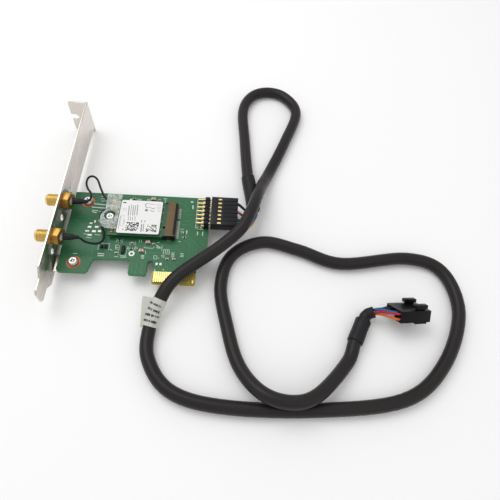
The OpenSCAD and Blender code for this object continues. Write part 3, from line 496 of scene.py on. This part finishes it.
# Antenna jacks: a turned body with cut thread grooves, and a hexagon with broken corners
jackRows = {"upper": 53.7, "lower": 32.0}
jack = {"end": -8.6, "bore": 2.3, "boreEnd": -4, "hole": 2.02, "crest": 3.1, "root": 2.84, "pitch": 0.7,
        "flank": 0.28, "crestEnd": 0.42, "threadStart": -7.9, "threads": 9, "neck": 2.8, "neckStart": -1.5,
        "neckEnd": 0.02, "hexLength": 3.8, "hexFlats": 8, "hexTurn": 10, "hexBevel": 0.3, "drill": 12,
        "z": 15.5}
threadOutline = []
for i in range(jack["threads"]):
    start = jack["threadStart"] + i * jack["pitch"]
    threadOutline += [(start, jack["root"]), (start + jack["flank"], jack["crest"]),
                      (start + jack["crestEnd"], jack["crest"])]
jackOutline = [(jack["boreEnd"], jack["hole"]), (jack["boreEnd"], jack["bore"]),
               (jack["end"] + 0.2, jack["bore"]), (jack["end"], jack["bore"] + 0.12),
               (jack["end"] + 0.08, jack["root"] - 0.3)]
jackOutline += threadOutline + [(jack["neckStart"], jack["neck"]), (jack["neckEnd"], jack["neck"]),
                                (jack["neckEnd"], jack["hole"])]
for row, y in jackRows.items():
    name = row + "_jack_body"
    turned = addTurned(name + "Barrel", jackOutline, y, jack["z"])
    bpy.ops.object.select_all(action="DESELECT")
    bpy.ops.mesh.primitive_cylinder_add(
        vertices=6, radius=mm(jack["hexFlats"] / math.sqrt(3)), depth=mm(jack["hexLength"]),
        location=card(jack["hexLength"] / 2, y, jack["z"]),
        rotation=(math.radians(jack["hexTurn"]), math.pi / 2, 0))
    hexagon = applyPlace(bpy.context.object)
    bpy.ops.object.select_all(action="DESELECT")
    bpy.ops.mesh.primitive_cylinder_add(vertices=48, radius=mm(jack["hole"]), depth=mm(jack["drill"]),
                                        location=card(2, y, jack["z"]), rotation=(0, math.pi / 2, 0))
    drill = applyPlace(bpy.context.object)
    addModifier(hexagon, "BEVEL", width=mm(jack["hexBevel"]), segments=2, limit_method="ANGLE")
    addModifier(hexagon, "BOOLEAN", object=drill, operation="DIFFERENCE")
    makeActive(drill)
    bpy.ops.object.delete()
    # The hexagon takes the darker gold, a painted reflection
    jackPieces = [paint(turned, jackGold), paint(hexagon, hexGoldDarkReflection)]
    finishPiece(joinPieces(name + "Turned", jackPieces), None, [name], 40)

# Leads: thin round jackets, with a tapered shrink sleeve at each jack
lead = {"radius": 0.56, "sides": 12, "steps": 6, "sleeveSides": 24}
upperLead = [(6.4, 53.7, 15.5), (9.4, 53.7, 15.5), (11.6, 53.9, 15.5), (13, 55.7, 15.5), (12.4, 59.3, 15.5),
             (10, 62.7, 15.2), (8.6, 66.7, 15), (9, 70.3, 14.7), (11, 71.7, 14.1), (13.6, 69.7, 13.5),
             (16, 64.7, 12.5), (19, 59.7, 11.7), (21.6, 58.7, 11.4), (23.05, 58.24, 11.4)]
lowerLead = [(6.4, 32, 15.5), (9.4, 32, 15.5), (12.4, 31.7, 15.3), (15, 30.6, 13.9), (19.6, 31, 11.9),
             (22, 34, 10.3), (21.4, 39, 9.9), (18.8, 45, 10.1), (18.2, 49.6, 10.5), (19.4, 51.8, 11.1),
             (21.6, 53.25, 11.4), (23, 53.28, 11.4)]
for name, points in (("upper_antenna_lead", upperLead), ("lower_antenna_lead", lowerLead)):
    line = smoothLine([card(*p) for p in points], lead["steps"])
    finishPiece(ringsTube(name + "Round", line, [lead["radius"]] * len(line), lead["sides"]),
                leadBlack, [name])
# Pairs of distance from the bracket and radius
sleeveShape = [(4.5, 1.56), (4.6, 1.6), (5.4, 1.58), (7, 1.56), (8.4, 1.5), (9.2, 1.3), (10.2, 1.05),
               (11.2, 0.9), (11.7, 0.86)]
leadSleeves = [ringsTube("leadSleeve", [card(x, y, jack["z"]) for x, _ in sleeveShape],
                         [radius for _, radius in sleeveShape], lead["sleeveSides"])
               for y in jackRows.values()]
finishPiece(joinPieces("leadSleeves", leadSleeves), heatShrink, ["lead_sleeves"])
print("jacks and leads made")

# Print on the module's label: lines, outlines and blocks that say nothing. Bars here and below are
# x1, y1, x2, y2 and width in card millimetres
label = {"top": 11.82, "ink": 0.012, "filled": 0.5, "cellReach": 0.2}
inkLow, inkHigh = label["top"], label["top"] + label["ink"]
labelLines = [
    (32.2, 55, 32.6, 49, 0.45), (33.2, 56, 33.7, 49.3, 0.3), (34.3, 55.4, 34.8, 49.1, 0.4),
    (35.4, 55.5, 35.7, 49.4, 0.4), (36.5, 56, 36.9, 49.5, 0.45), (32.8, 48.3, 33, 45.9, 0.3),
    (33.9, 48.4, 34, 46, 0.3), (35, 48.2, 35.1, 46, 0.3), (36.2, 48.5, 36.4, 46.1, 0.3),
    (39.9, 46.3, 39.9, 45.2, 0.5), (41.5, 46.4, 41.6, 45.3, 0.4), (40.2, 43.9, 40.4, 39.5, 0.6),
    (41.2, 44.2, 41.4, 39.7, 0.4), (28.8, 48.5, 28.9, 40.4, 0.25), (31.1, 46.4, 31.1, 43.8, 0.2),
    (31.3, 40.8, 31.3, 39.8, 0.4)]
labelMarks = [
    (40.3, 56.5, 41.1, 57.2, 0.35), (41.1, 57.2, 43.4, 56.9, 0.25), (43.4, 56.9, 45.4, 56.8, 0.25),
    (40.3, 56.5, 41.1, 54.5, 0.35), (41.1, 54.5, 42.9, 55, 0.3), (43.3, 54.6, 44.8, 54, 0.35),
    (44.8, 54, 45.7, 54.7, 0.35), (43.3, 53, 44.5, 52.3, 0.35), (44.5, 52.3, 45.6, 52.7, 0.35)]
labelPale = [
    (46.1, 57.1, 48.5, 57, 0.25), (46.2, 56.2, 48.6, 55.8, 0.25), (46.5, 55.3, 48.7, 54.9, 0.25),
    (46.8, 54.4, 48.7, 54, 0.25), (47.1, 53.5, 48.8, 53.1, 0.25), (47.4, 52.4, 48.7, 52.2, 0.25),
    (29.3, 53.4, 31, 53.3, 0.2), (31, 53.3, 31.1, 52, 0.2), (31.1, 52, 29.4, 52.3, 0.2),
    (29.4, 52.3, 29.3, 53.4, 0.2), (29.3, 48.9, 30.6, 48.8, 0.2), (30.6, 48.8, 30.9, 43, 0.2),
    (30.9, 43, 30, 42.2, 0.2), (30, 42.2, 29.3, 42.8, 0.2), (29.3, 42.8, 29.3, 48.9, 0.2)]
labelParts = [addBars("labelLines", labelLines, inkLow, inkHigh, labelInk),
              addBars("labelMarks", labelMarks, inkLow, inkHigh, labelInk),
              addBars("labelPale", labelPale, inkLow, inkHigh, faintInk),
              paint(addDisc(41.4, 52.9, inkLow, inkHigh, 0.85), labelInk),
              addBars("labelArrow", [(29, 57.1, 30.2, 57.1, 0.7)], inkLow, inkHigh, darkInk)]
# Two blocks of random cells that hold no message. Each has its corners, then its cells across and down
cellBlocks = [(32.3, 39.6, 38.7, 44.9, 13, 11), (42.7, 39.5, 48, 43.9, 11, 9)]
cells = []
for x1, y1, x2, y2, across, down in cellBlocks:
    cellX, cellY = (x2 - x1) / across, (y2 - y1) / down
    for column in range(across):
        for row in range(down):
            if random.random() < label["filled"]:
                x, y = x1 + (column + 0.5) * cellX, y1 + (row + 0.5) * cellY
                reach = label["cellReach"] * cellX
                cells.append((x - reach, y, x + reach, y, cellY))
labelParts.append(addBars("labelCells", cells, inkLow, inkHigh, darkInk))
finishPiece(joinPieces("labelPrint", labelParts))

# Print on the adapter board: plain short bars, and outlines round the parts
board = {"top": 7.3, "under": 5.7, "ink": 0.025, "inkWidth": 0.85, "track": 0.012, "trackWidth": 0.3,
         "backWidth": 0.35, "via": 0.02, "viaRadius": 0.24, "viaSides": 10, "darkDotRadius": 0.4}
boardTop, boardUnder = board["top"], board["under"]
boardBars = [
    (34.5, 63.1, 36.8, 63.2, 0.35), (34.6, 62.4, 36.8, 62.6, 0.3), (39.7, 63.4, 41.6, 63.5, 0.35),
    (40, 62.7, 41.5, 62.8, 0.35), (48.5, 64.4, 50.4, 64.4, 0.4), (48.8, 63.5, 50.3, 63.5, 0.3),
    (49.6, 62.8, 49.8, 61.7, 0.4), (63.6, 63.1, 64.4, 63.1, 1.1), (64.7, 60.7, 64.9, 58.6, 0.8),
    (68.5, 43.9, 68.5, 41.9, 0.6), (71.2, 44, 71.1, 41.8, 0.6), (59.4, 45.1, 61.3, 45.1, 0.3),
    (59.6, 43.8, 61.2, 43.7, 0.3), (59.8, 42.8, 61.5, 42.8, 0.3), (62.8, 44.2, 62.8, 42.4, 0.8),
    (59.3, 37.4, 60.2, 37.3, 0.4), (42.4, 32.7, 46.7, 32.6, 0.35), (42.3, 33.4, 42.4, 32.7, 0.35),
    (46.7, 32.6, 47.3, 33.4, 0.35), (48.4, 34.5, 50.5, 33, 0.6), (48.5, 33.3, 49.8, 32.7, 0.4),
    (51.2, 34.5, 51.3, 31.6, 0.3), (52.2, 32.2, 52.3, 29.3, 0.35), (53.1, 32.3, 53.3, 29.5, 0.35),
    (54.1, 32.3, 54.2, 29.4, 0.35), (55, 32.4, 55.2, 29.4, 0.35), (52.2, 32.2, 55, 32.4, 0.3),
    (56.3, 30.4, 57.9, 30.4, 0.4), (56.4, 29.6, 57.8, 29.5, 0.4), (56.6, 28.7, 58, 28.7, 0.4),
    (56.5, 28, 57.6, 28, 0.3), (60.9, 30.2, 62.5, 30.2, 0.4), (61, 29.4, 62.5, 29.3, 0.4),
    (61, 28.6, 62.5, 28.5, 0.4), (47.7, 28.3, 49.3, 28.3, 0.3), (49.3, 28.3, 49.5, 26.5, 0.3),
    (49.5, 26.5, 48, 26.4, 0.3), (48, 26.4, 47.7, 28.3, 0.3), (50, 27, 50.5, 27, 0.3),
    (51.4, 28.5, 53.2, 28.4, 0.35), (51.7, 27.7, 52.9, 27.6, 0.3), (41.5, 28.1, 42.9, 28.1, 0.5),
    (41.6, 27.3, 43, 27.3, 0.5), (41.9, 26.5, 42.9, 26.5, 0.4), (28.5, 26.8, 30.2, 26.8, 0.35),
    (31.2, 27.4, 34.1, 27.3, 0.4), (31.5, 26.6, 34.1, 26.6, 0.4), (27.9, 33.4, 29.3, 33.7, 0.35),
    (27.9, 33.4, 28.3, 31.1, 0.3), (28.3, 32.2, 29.5, 32.2, 0.3), (28.4, 31.1, 29.5, 31.2, 0.3),
    (39.3, 37.2, 39.5, 35.9, 0.3), (40.4, 37.3, 40.5, 36, 0.3), (43.2, 30.9, 43.6, 29.1, 0.35),
    (38.7, 32.7, 39, 31.9, 0.3), (33.9, 33.3, 34.2, 31.6, 0.3), (38.1, 33.5, 38.3, 31.4, 0.3),
    (48.4, 36.1, 49.6, 36.5, 0.3), (49.1, 20.3, 49.4, 19.9, 0.7), (53.2, 20.7, 53.5, 20.4, 0.6),
    (12.5, 58.7, 18.7, 58.2, 0.7), (11.8, 56.4, 18.8, 56.1, 0.7), (12.2, 54.4, 15.2, 54.2, 0.6),
    (12.5, 53.4, 14.6, 52.9, 0.7), (16.1, 53.8, 19.3, 53.4, 0.5), (15.4, 62.2, 18.3, 62.2, 0.4),
    (16, 60.7, 18.5, 60.8, 0.4), (15.1, 63.8, 17.7, 63.9, 0.4), (10.8, 39.4, 12.5, 39.3, 0.4),
    (12.5, 37.3, 14.9, 37.2, 0.4), (16.5, 39.2, 19.1, 39.1, 0.4), (20, 28.1, 23, 28.1, 0.6),
    (20.3, 26.9, 23, 27, 0.6), (7.9, 27.4, 10, 27.5, 0.35), (25.5, 30.9, 26.7, 30.4, 0.35),
    (19.6, 34.2, 24.9, 34.2, 0.25), (24.9, 34.2, 24.9, 30.3, 0.25), (19.6, 34.2, 19.6, 30.3, 0.25)]
headerFrame = [
    (67.4, 64.9, 70.9, 65, 0.3), (67, 64.4, 67.4, 64.9, 0.3), (67, 64.4, 67.2, 47.2, 0.3),
    (67.2, 47.2, 68.4, 45.6, 0.3), (68.4, 45.6, 71.2, 45.5, 0.3)]
partFrames = [(34.6, 30.8, 37.6, 33), (30, 27.9, 33.9, 33.3), (28, 35.3, 31, 37.5),
              (34.8, 34.2, 37.6, 36)]
frameLine, frameFoot = 0.2, 0.8
for x1, y1, x2, y2 in partFrames:
    headerFrame += [(x1, y1, x1, y2, frameLine), (x2, y1, x2, y2, frameLine),
                    (x1, y1, x1 + frameFoot, y1, frameLine), (x2 - frameFoot, y1, x2, y1, frameLine)]
boardPrint = addBars("boardPrint", boardBars + headerFrame, boardTop, boardTop + board["ink"], printInk,
                     board["inkWidth"])
finishPiece(boardPrint)
underBars = [(14, 60, 26, 60, 0.9), (14, 57.5, 22, 57.5, 0.7), (30, 30, 42, 30, 0.8), (50, 62, 60, 62, 0.8),
             (66.8, 45, 66.8, 64.5, 0.25), (66.8, 64.5, 72.4, 64.5, 0.25), (66.8, 45, 72.4, 45, 0.25),
             (20, 40, 28, 40, 0.5), (20, 38.6, 25, 38.6, 0.5), (44, 26.8, 46.6, 26.8, 0.5)]
finishPiece(addBars("underPrint", underBars, boardUnder - board["ink"], boardUnder, printInk))

# Copper tracks under the lacquer, on both faces: short ones up from the contacts, eleven of them before the
# key notch, then ones that bend, each with its start and the ends of its stretches
tab = {"first": 49.35, "notch": 1.9, "before": 11, "tracks": 17, "top": 19.4, "reach": 2.0, "stagger": 0.7}
tracks = []
for i in range(tab["tracks"]):
    x = tab["first"] + i + (tab["notch"] if i >= tab["before"] else 0)
    tracks += [(x, tab["top"], x, tab["top"] + tab["reach"] + (i % 3) * tab["stagger"], board["trackWidth"])]
bentTracks = [
    ((58.9, 57.4), [(61.5, 57.4), (63.4, 59.3), (66.6, 59.3)]),
    ((58.9, 56.4), [(62, 56.4), (63.8, 57.2), (66.6, 57.2)]),
    ((58.9, 54.4), [(64, 54.4), (66.6, 54.4)]), ((58.9, 50.2), [(62.5, 50.2), (66.6, 51.6)]),
    ((58.9, 48.2), [(63, 48.2), (66.6, 49.4)]),
    ((58.9, 41.2), [(63.6, 41.2), (68.5, 36), (68.5, 30)]),
    ((58.9, 40.2), [(62.8, 40.2), (66.8, 35.6), (66.8, 28.6)]),
    ((58.9, 39.2), [(62, 39.2), (65, 35.8), (65, 27.2)]),
    ((26.5, 64.6), [(47, 64.6)]), ((8, 37), [(13, 37), (17, 33), (17, 24)]),
    ((6, 50), [(10, 50), (12, 48.5)]), ((25, 35.8), [(27.4, 35.8)]),
    ((45.6, 30), [(50, 30), (51.4, 31.2)]), ((38, 24), [(38, 18.5)]),
    ((40, 24), [(40, 18.5)]), ((42.6, 24.6), [(42.6, 18.5)])]
for start, bends in bentTracks:
    for end in bends:
        tracks.append((*start, *end, board["trackWidth"]))
        start = end
topTracks = addBars("topTracks", tracks, boardTop, boardTop + board["track"], buriedCopper)
backColumns = (50, 52, 54, 56, 58, 63, 65, 67)
backTracks = [(x, 20, x, 30 + (x * 7) % 9, board["backWidth"]) for x in backColumns]
backTracks += [(x, 30 + (x * 7) % 9, x - 6, 38 + (x * 7) % 9, board["backWidth"]) for x in backColumns]
backTracks += [(12 + 2 * i, 36, 12 + 2 * i, 46 + i, board["backWidth"]) for i in range(6)]
underTracks = addBars("underTracks", backTracks, boardUnder - board["track"], boardUnder, buriedCopper)
finishPiece(joinPieces("copperTracks", [topTracks, underTracks]))

# Plated holes under the lacquer, each a low disc on both faces, and two dark discs drawn flat on the board
# beside the module
viaPlaces = [(49.4, 22.6), (52.4, 22.9), (55.3, 22.2), (58.5, 22.8), (63.2, 23), (66.1, 22.6), (61, 48.2),
             (62.5, 50.4), (64, 54.4), (61.5, 57.6), (63.6, 41.2), (64.9, 36), (26.4, 64.6), (47.2, 64.6),
             (33, 64.9), (8, 37), (17, 24), (6, 50), (12, 48.5), (27.4, 35.8), (45.6, 30), (38, 18.5),
             (40, 18.5), (42.6, 18.5), (6, 30.2), (9, 30.8), (12, 28), (21.5, 37), (26, 28), (68.5, 30),
             (66.8, 28.6), (65, 27.2), (71.5, 30), (71.5, 36), (60.5, 60.4), (57.4, 61.8), (54.5, 61.2),
             (20.6, 64.8)]
darkDotPlaces = [(51.5, 55.3), (51.3, 50.9)]
vias = [addDisc(x, y, low, low + board["via"], board["viaRadius"], sides=board["viaSides"])
        for x, y in viaPlaces for low in (boardUnder - board["via"], boardTop)]
darkDots = [addDisc(x, y, boardTop, boardTop + board["via"], board["darkDotRadius"]) for x, y in darkDotPlaces]
holes = [paint(joinPieces("vias", vias), maskedHole), paint(joinPieces("darkDots", darkDots), darkDotMaterial)]
finishPiece(joinPieces("platedHoles", holes))

# Plated end caps with a foot of solder on the small parts, and cones round the pin ends below. A part has
# its middle, length, width and height
solder = {"capShare": 0.22, "capOut": 0.04, "capOver": 0.03, "footIn": 0.1, "footOut": 0.34,
          "footOver": 0.02, "footShare": 0.35, "bevel": 0.08, "ring": 0.95, "ringHeight": 0.05,
          "pinBase": 0.8, "pinTip": 0.4, "pinHeight": 0.4, "coneTip": 0.42, "coneHeight": 0.75}
header = {"middle": 54.6, "pitch": 2.54, "columns": 7, "rows": (70.4, 67.86)}
smallParts = [(43.4, 63.3, 2, 1.6, 1.3), (44, 35.8, 2, 1.6, 1.3), (41.3, 30.6, 2, 1.6, 1.3)]
smallParts += [(x, y, 1.2, 0.8, 0.8) for x, y in ((46.5, 63), (47, 35.1), (36.2, 35.1), (29.1, 28.9),
                                                  (54.6, 26.7), (58, 26.7))]
smallParts += [(x, y, 1.2, 0.8, 0.45) for x, y in ((29.5, 36.4), (36, 31.9), (33, 63.4), (62, 43), (62, 40))]
joints = []
for x, y, length, width, height in smallParts:
    for way in (-1, 1):
        end = x + way * length / 2
        low, high = sorted((end - way * length * solder["capShare"], end + way * solder["capOut"]))
        reach = width / 2 + solder["capOver"]
        joints.append(addBlock((low, y - reach, boardTop),
                               (high, y + reach, boardTop + height + solder["capOver"]), solder["bevel"]))
        low, high = sorted((end - way * solder["footIn"], end + way * solder["footOut"]))
        reach = width / 2 + solder["footOver"]
        joints.append(addBlock((low, y - reach, boardTop),
                               (high, y + reach, boardTop + height * solder["footShare"]), solder["bevel"]))
pinColumns = [header["middle"] + (i - 3) * header["pitch"] for i in range(header["columns"])]
for x in header["rows"]:
    for y in pinColumns:
        ringTop = boardTop + solder["ringHeight"]
        joints.append(addDisc(x, y, boardUnder - solder["coneHeight"], boardUnder, solder["coneTip"],
                              solder["ring"]))
        joints.append(addDisc(x, y, boardTop, ringTop, solder["ring"]))
        joints.append(addDisc(x, y, ringTop, boardTop + solder["pinHeight"], solder["pinBase"],
                              solder["pinTip"]))
finishPiece(paint(joinPieces("solderJoints", joints), solderTin), smooth=50)
print("label, board print, tracks and solder made")

# The cable. Its route's points are the ones in the part's source, in card millimetres
cable = {"radius": 3.2, "sides": 24, "steps": 8, "labelAt": 16, "labelRadius": 3.6}
route = [card(*p) for p in [
    (97, 68, 3.8), (94, 86, 3.8), (91.5, 116, 3.3), (90, 141, 3.3), (95.5, 155, 3.3), (106, 160, 3.3),
    (117, 156, 3.3), (124, 141.5, 3.3), (116, 115, 3.3), (106.5, 90, 3.6), (102, 77, 7.8),
    (99, 65, 12.8), (96, 54, 14.8), (91, 43, 14.2), (81, 33, 11.8), (61, 15, 11.4), (54, 4, 8.6),
    (50, -8, 3.8), (51, -23, 3.3), (62, -37, 3.3), (84, -43, 3.3), (124, -43.5, 3.3), (166, -38, 3.3),
    (188, -21, 3.3), (201, 6, 3.3), (197, 29, 3.3), (179, 36, 3.3), (144, 31, 3.3), (122, 38, 3.3),
    (103, 42, 3.3), (87, 33, 3.3), (82, 15, 3.3), (86, -6, 3.3), (92, -25, 4.6), (102, -38, 9.3),
    (115, -42, 10), (127, -38, 9), (142, -22, 3.8), (146.5, -12, 3.8), (151.5, -1.5, 3.8)]]
cableLine = smoothLine(route, cable["steps"])
sheath = ringsTube("cableSheath", cableLine, [cable["radius"]] * len(cableLine), cable["sides"])
finishPiece(sheath, sheathRubber, ["cable_sheath"])

# Print on the wrapped label: rows of dark strokes that say nothing, on the side that faces up. Turns and
# gaps are degrees round the cable
inkStroke = {"first": 28, "spread": 12, "last": 150, "along": (0.5, 1.2), "round": (0.35, 0.95),
             "thick": 0.08, "gap": (10, 18)}
labelFrom, labelTo = route[cable["labelAt"]], route[cable["labelAt"] + 1]
labelMiddle = cableLine[cable["labelAt"] * cable["steps"] + cable["steps"] // 2]
strokes = []
for start, end, rows in ((labelFrom, labelMiddle, (0.45, 0.85)), (labelMiddle, labelTo, (0.25, 0.65))):
    ahead = (end - start).normalized()
    side = ahead.cross(Vector((0, 0, 1))).normalized()
    for row in rows:
        turn = math.radians(inkStroke["first"] + random.uniform(0, inkStroke["spread"]))
        while turn < math.radians(inkStroke["last"]):
            out = math.cos(turn) * side + math.sin(turn) * side.cross(ahead)
            bpy.ops.object.select_all(action="DESELECT")
            bpy.ops.mesh.primitive_cube_add(
                size=1, location=start.lerp(end, row) + mm(cable["labelRadius"]) * out)
            stroke = bpy.context.object
            stroke.scale = (mm(random.uniform(*inkStroke["along"])), mm(random.uniform(*inkStroke["round"])),
                            mm(inkStroke["thick"]))
            stroke.rotation_euler = Matrix((ahead, out.cross(ahead), out)).transposed().to_euler()
            strokes.append(stroke)
            turn += math.radians(random.uniform(*inkStroke["gap"]))
cableLabelPrint = finishPiece(joinPieces("cableLabelPrint", strokes), darkInk)

# Shrink sleeves: pinched at the wires over a fifth of their length, full over the sheath, with a thin lip
# at the end
sleeve = {"radius": 3.8, "lip": 3.5, "mouth": 3.1, "inner": 2.8, "sides": 32, "steps": 30, "pinchShare": 5,
          "ripple": 0.05, "uneven": 0.02, "innerRipple": 0.06, "innerLip": 0.25, "innerSteps": 8}


def addSleeve(name, start, end, pinched):
    line, radii = [], []
    for i in range(sleeve["steps"] + 1):
        t = i / sleeve["steps"]
        line.append(start.lerp(end, t))
        full = sleeve["radius"] + sleeve["ripple"] * math.sin(9 * t + 1)
        full += random.uniform(-sleeve["uneven"], sleeve["uneven"])
        pinch = min(1, t * sleeve["pinchShare"]) if pinched else 1
        radii.append(sleeve["mouth"] + (full - sleeve["mouth"]) * pinch ** 0.5)
    radii[-1] = sleeve["lip"]
    return ringsTube(name, line, radii, sleeve["sides"])


mouth = Vector((98, 62, 3.8))
cableStart = Vector((97, 68, 3.8))
plugSleeve = finishPiece(addSleeve("plugSleeve", card(*mouth), route[1], True),
                         heatShrink, ["plug_sleeve"])
tailSleeve = finishPiece(addSleeve("tailSleeve", route[-1].lerp(route[-2], -0.06), route[-2], False),
                         heatShrink, ["tail_sleeve"])
tailBend = [Vector(p) for p in [(151.5, -1.5, 3.8), (152.9, 1.2, 4), (154.6, 2.6, 4.9), (157, 3, 6.2)]]
innerLine = smoothLine([card(*p) for p in tailBend], sleeve["innerSteps"])
innerRadii = [sleeve["inner"] + sleeve["innerRipple"] * math.sin(i * 0.9) for i in range(len(innerLine))]
innerRadii[-1] = sleeve["inner"] - sleeve["innerLip"]
tailInner = finishPiece(ringsTube("tailInnerSleeve", innerLine, innerRadii, sleeve["sides"]),
                        heatShrink, ["tail_inner_sleeve"])

# Wires of the two ends: thin extruded PVC, saturated, with an even satin shine. Inside a sleeve one wire
# runs in the middle, spot 0, and six lie round it
wires = {"radius": 0.55, "sides": 12, "steps": 14, "bundle": 1.27, "rows": (8.57, 11.11), "plugEnd": 88.94,
         "intoPlug": 2.6, "outOfPlug": 0.5, "spots": (5, 6, 4, 1, 0, 2, 3)}
wireColors = {"black": "#1b1b1d", "blue": "#1f62a0", "green": "#35853c", "red": "#b81c38",
              "orange": "#d96a18", "white": "#dcdcd8", "mustard": "#b08a28"}
wireFinishes = {name: plainFinish("pvcWire" + name.capitalize(), color, 0.38, grain=1200, tint=0.05)
                for name, color in wireColors.items()}
ringSpots = [Vector((0, 0))]
for i in range(1, 7):
    turn = math.radians(60 * i)
    ringSpots.append(wires["bundle"] * Vector((math.cos(turn), math.sin(turn))))


def addWires(name, lines, colors):
    pieces = []
    for line, color in zip(lines, colors):
        piece = ringsTube(name + color, line, [wires["radius"]] * len(line), wires["sides"])
        pieces.append(paint(piece, wireFinishes[color]))
    return joinPieces(name, pieces)


mouthWay = (cableStart - mouth).normalized()
mouthSide = mouthWay.cross(Vector((0, 0, 1))).normalized()
plugLines = []
for i, column in enumerate(pinColumns):
    spot = ringSpots[wires["spots"][i]]
    offset = mouthSide * spot[0] + Vector((0, 0, spot[1]))
    height = wires["rows"][i % 2]
    out = Vector((wires["plugEnd"] + wires["outOfPlug"], column, height))
    bend = bendLine(out, out + Vector((4, -2, -2)), mouth + offset - mouthWay * 8, mouth + offset,
                    wires["steps"])
    line = [Vector((wires["plugEnd"] - wires["intoPlug"], column, height))] + bend + [cableStart + offset]
    plugLines.append([card(*p) for p in line])
plugWires = addWires("plugWires", plugLines, ["mustard", "blue", "green", "red", "white", "black", "black"])
finishPiece(plugWires, None, ["plug_wires"])

# The end plug leans on its lower edge: x and y of its corner, its size, and its tilt in degrees. Its wires
# enter in seven of ten places
tail = {"x": 166.9, "y": -4.9, "lift": 0.02, "length": 15.8, "width": 13.2, "height": 5.7, "roll": 46,
        "pitch": 9, "yaw": 9, "columns": (-2, -2, -1, 0, 1, 2, 2), "columnGap": 2.54,
        "rows": (1, -1, 1, -1, 1, -1, 1), "rowGap": 1.3, "spots": (1, 6, 2, 0, 3, 5, 4)}


# A step in the plug's own directions, turned to the card's
def inCard(x, y, z):
    roll, pitch, yaw = [math.radians(tail[key]) for key in ("roll", "pitch", "yaw")]
    along = x * math.cos(pitch) + (z * math.cos(roll) - y * math.sin(roll)) * math.sin(pitch)
    across = y * math.cos(roll) + z * math.sin(roll)
    up = (z * math.cos(roll) - y * math.sin(roll)) * math.cos(pitch) - x * math.sin(pitch)
    return Vector((along * math.cos(yaw) - across * math.sin(yaw),
                   along * math.sin(yaw) + across * math.cos(yaw), up))


tailCorner = Vector((tail["x"], tail["y"], tail["lift"] - inCard(tail["length"], tail["width"], 0).z))
tailWay = (tailBend[3] - tailBend[2]).normalized()
tailSide = tailWay.cross(Vector((0, 0, 1))).normalized()
tailLines = []
for place, column, row in zip(tail["spots"], tail["columns"], tail["rows"]):
    spot = ringSpots[place]
    start = tailBend[3] + tailSide * spot[0] + Vector((0, 0, spot[1]))
    y = tail["width"] / 2 + column * tail["columnGap"]
    z = tail["height"] / 2 + row * tail["rowGap"]
    end = tailCorner + inCard(0, y, z)
    bend = bendLine(start, start + tailWay * 3, end - inCard(2, 0, 0), end, wires["steps"])
    tailLines.append([card(*p) for p in bend + [tailCorner + inCard(4, y, z)]])
tailWires = addWires("tailWires", tailLines, ["red", "orange", "blue", "white", "black", "green", "black"])
finishPiece(tailWires, None, ["tail_wires"])

print("cable and wires made")

# Floor and light: white paper, a large soft lamp from the upper left and a weak one from the lower right
bpy.ops.object.select_all(action="DESELECT")
bpy.ops.mesh.primitive_plane_add(size=6, location=(0, 0, 0))
floor = bpy.context.object
floor.name = "paleFloor"
floorMaterial, _, floorShader, _ = startMaterial("whitePaperFloor")
floorShader.inputs["Base Color"].default_value = linear("#fdfdfd")
floorShader.inputs["Roughness"].default_value = 0.9
paint(floor, floorMaterial)

world = bpy.context.scene.world or bpy.data.worlds.new("studio")
bpy.context.scene.world = world
world.use_nodes = True
background = world.node_tree.nodes["Background"]
background.inputs["Color"].default_value = (1, 1, 1, 1)
background.inputs["Strength"].default_value = 0.7

# Each lamp has its place in metres, its size and its power in watts
lamps = {"key": ((-0.25, 0.25, 0.75), 0.6, 2.6), "fill": ((0.5, -0.5, 0.7), 0.8, 0.5)}
for name, (place, size, power) in lamps.items():
    bpy.ops.object.select_all(action="DESELECT")
    bpy.ops.object.light_add(type="AREA", location=place)
    lamp = bpy.context.object
    lamp.name = name + "Lamp"
    lamp.data.size = size
    lamp.data.energy = power
    lamp.rotation_euler = (Vector((0.05, 0, 0)) - Vector(place)).to_track_quat("-Z", "Y").to_euler()
print("floor and lamps set")

bpy.context.scene.view_settings.view_transform = "Standard"
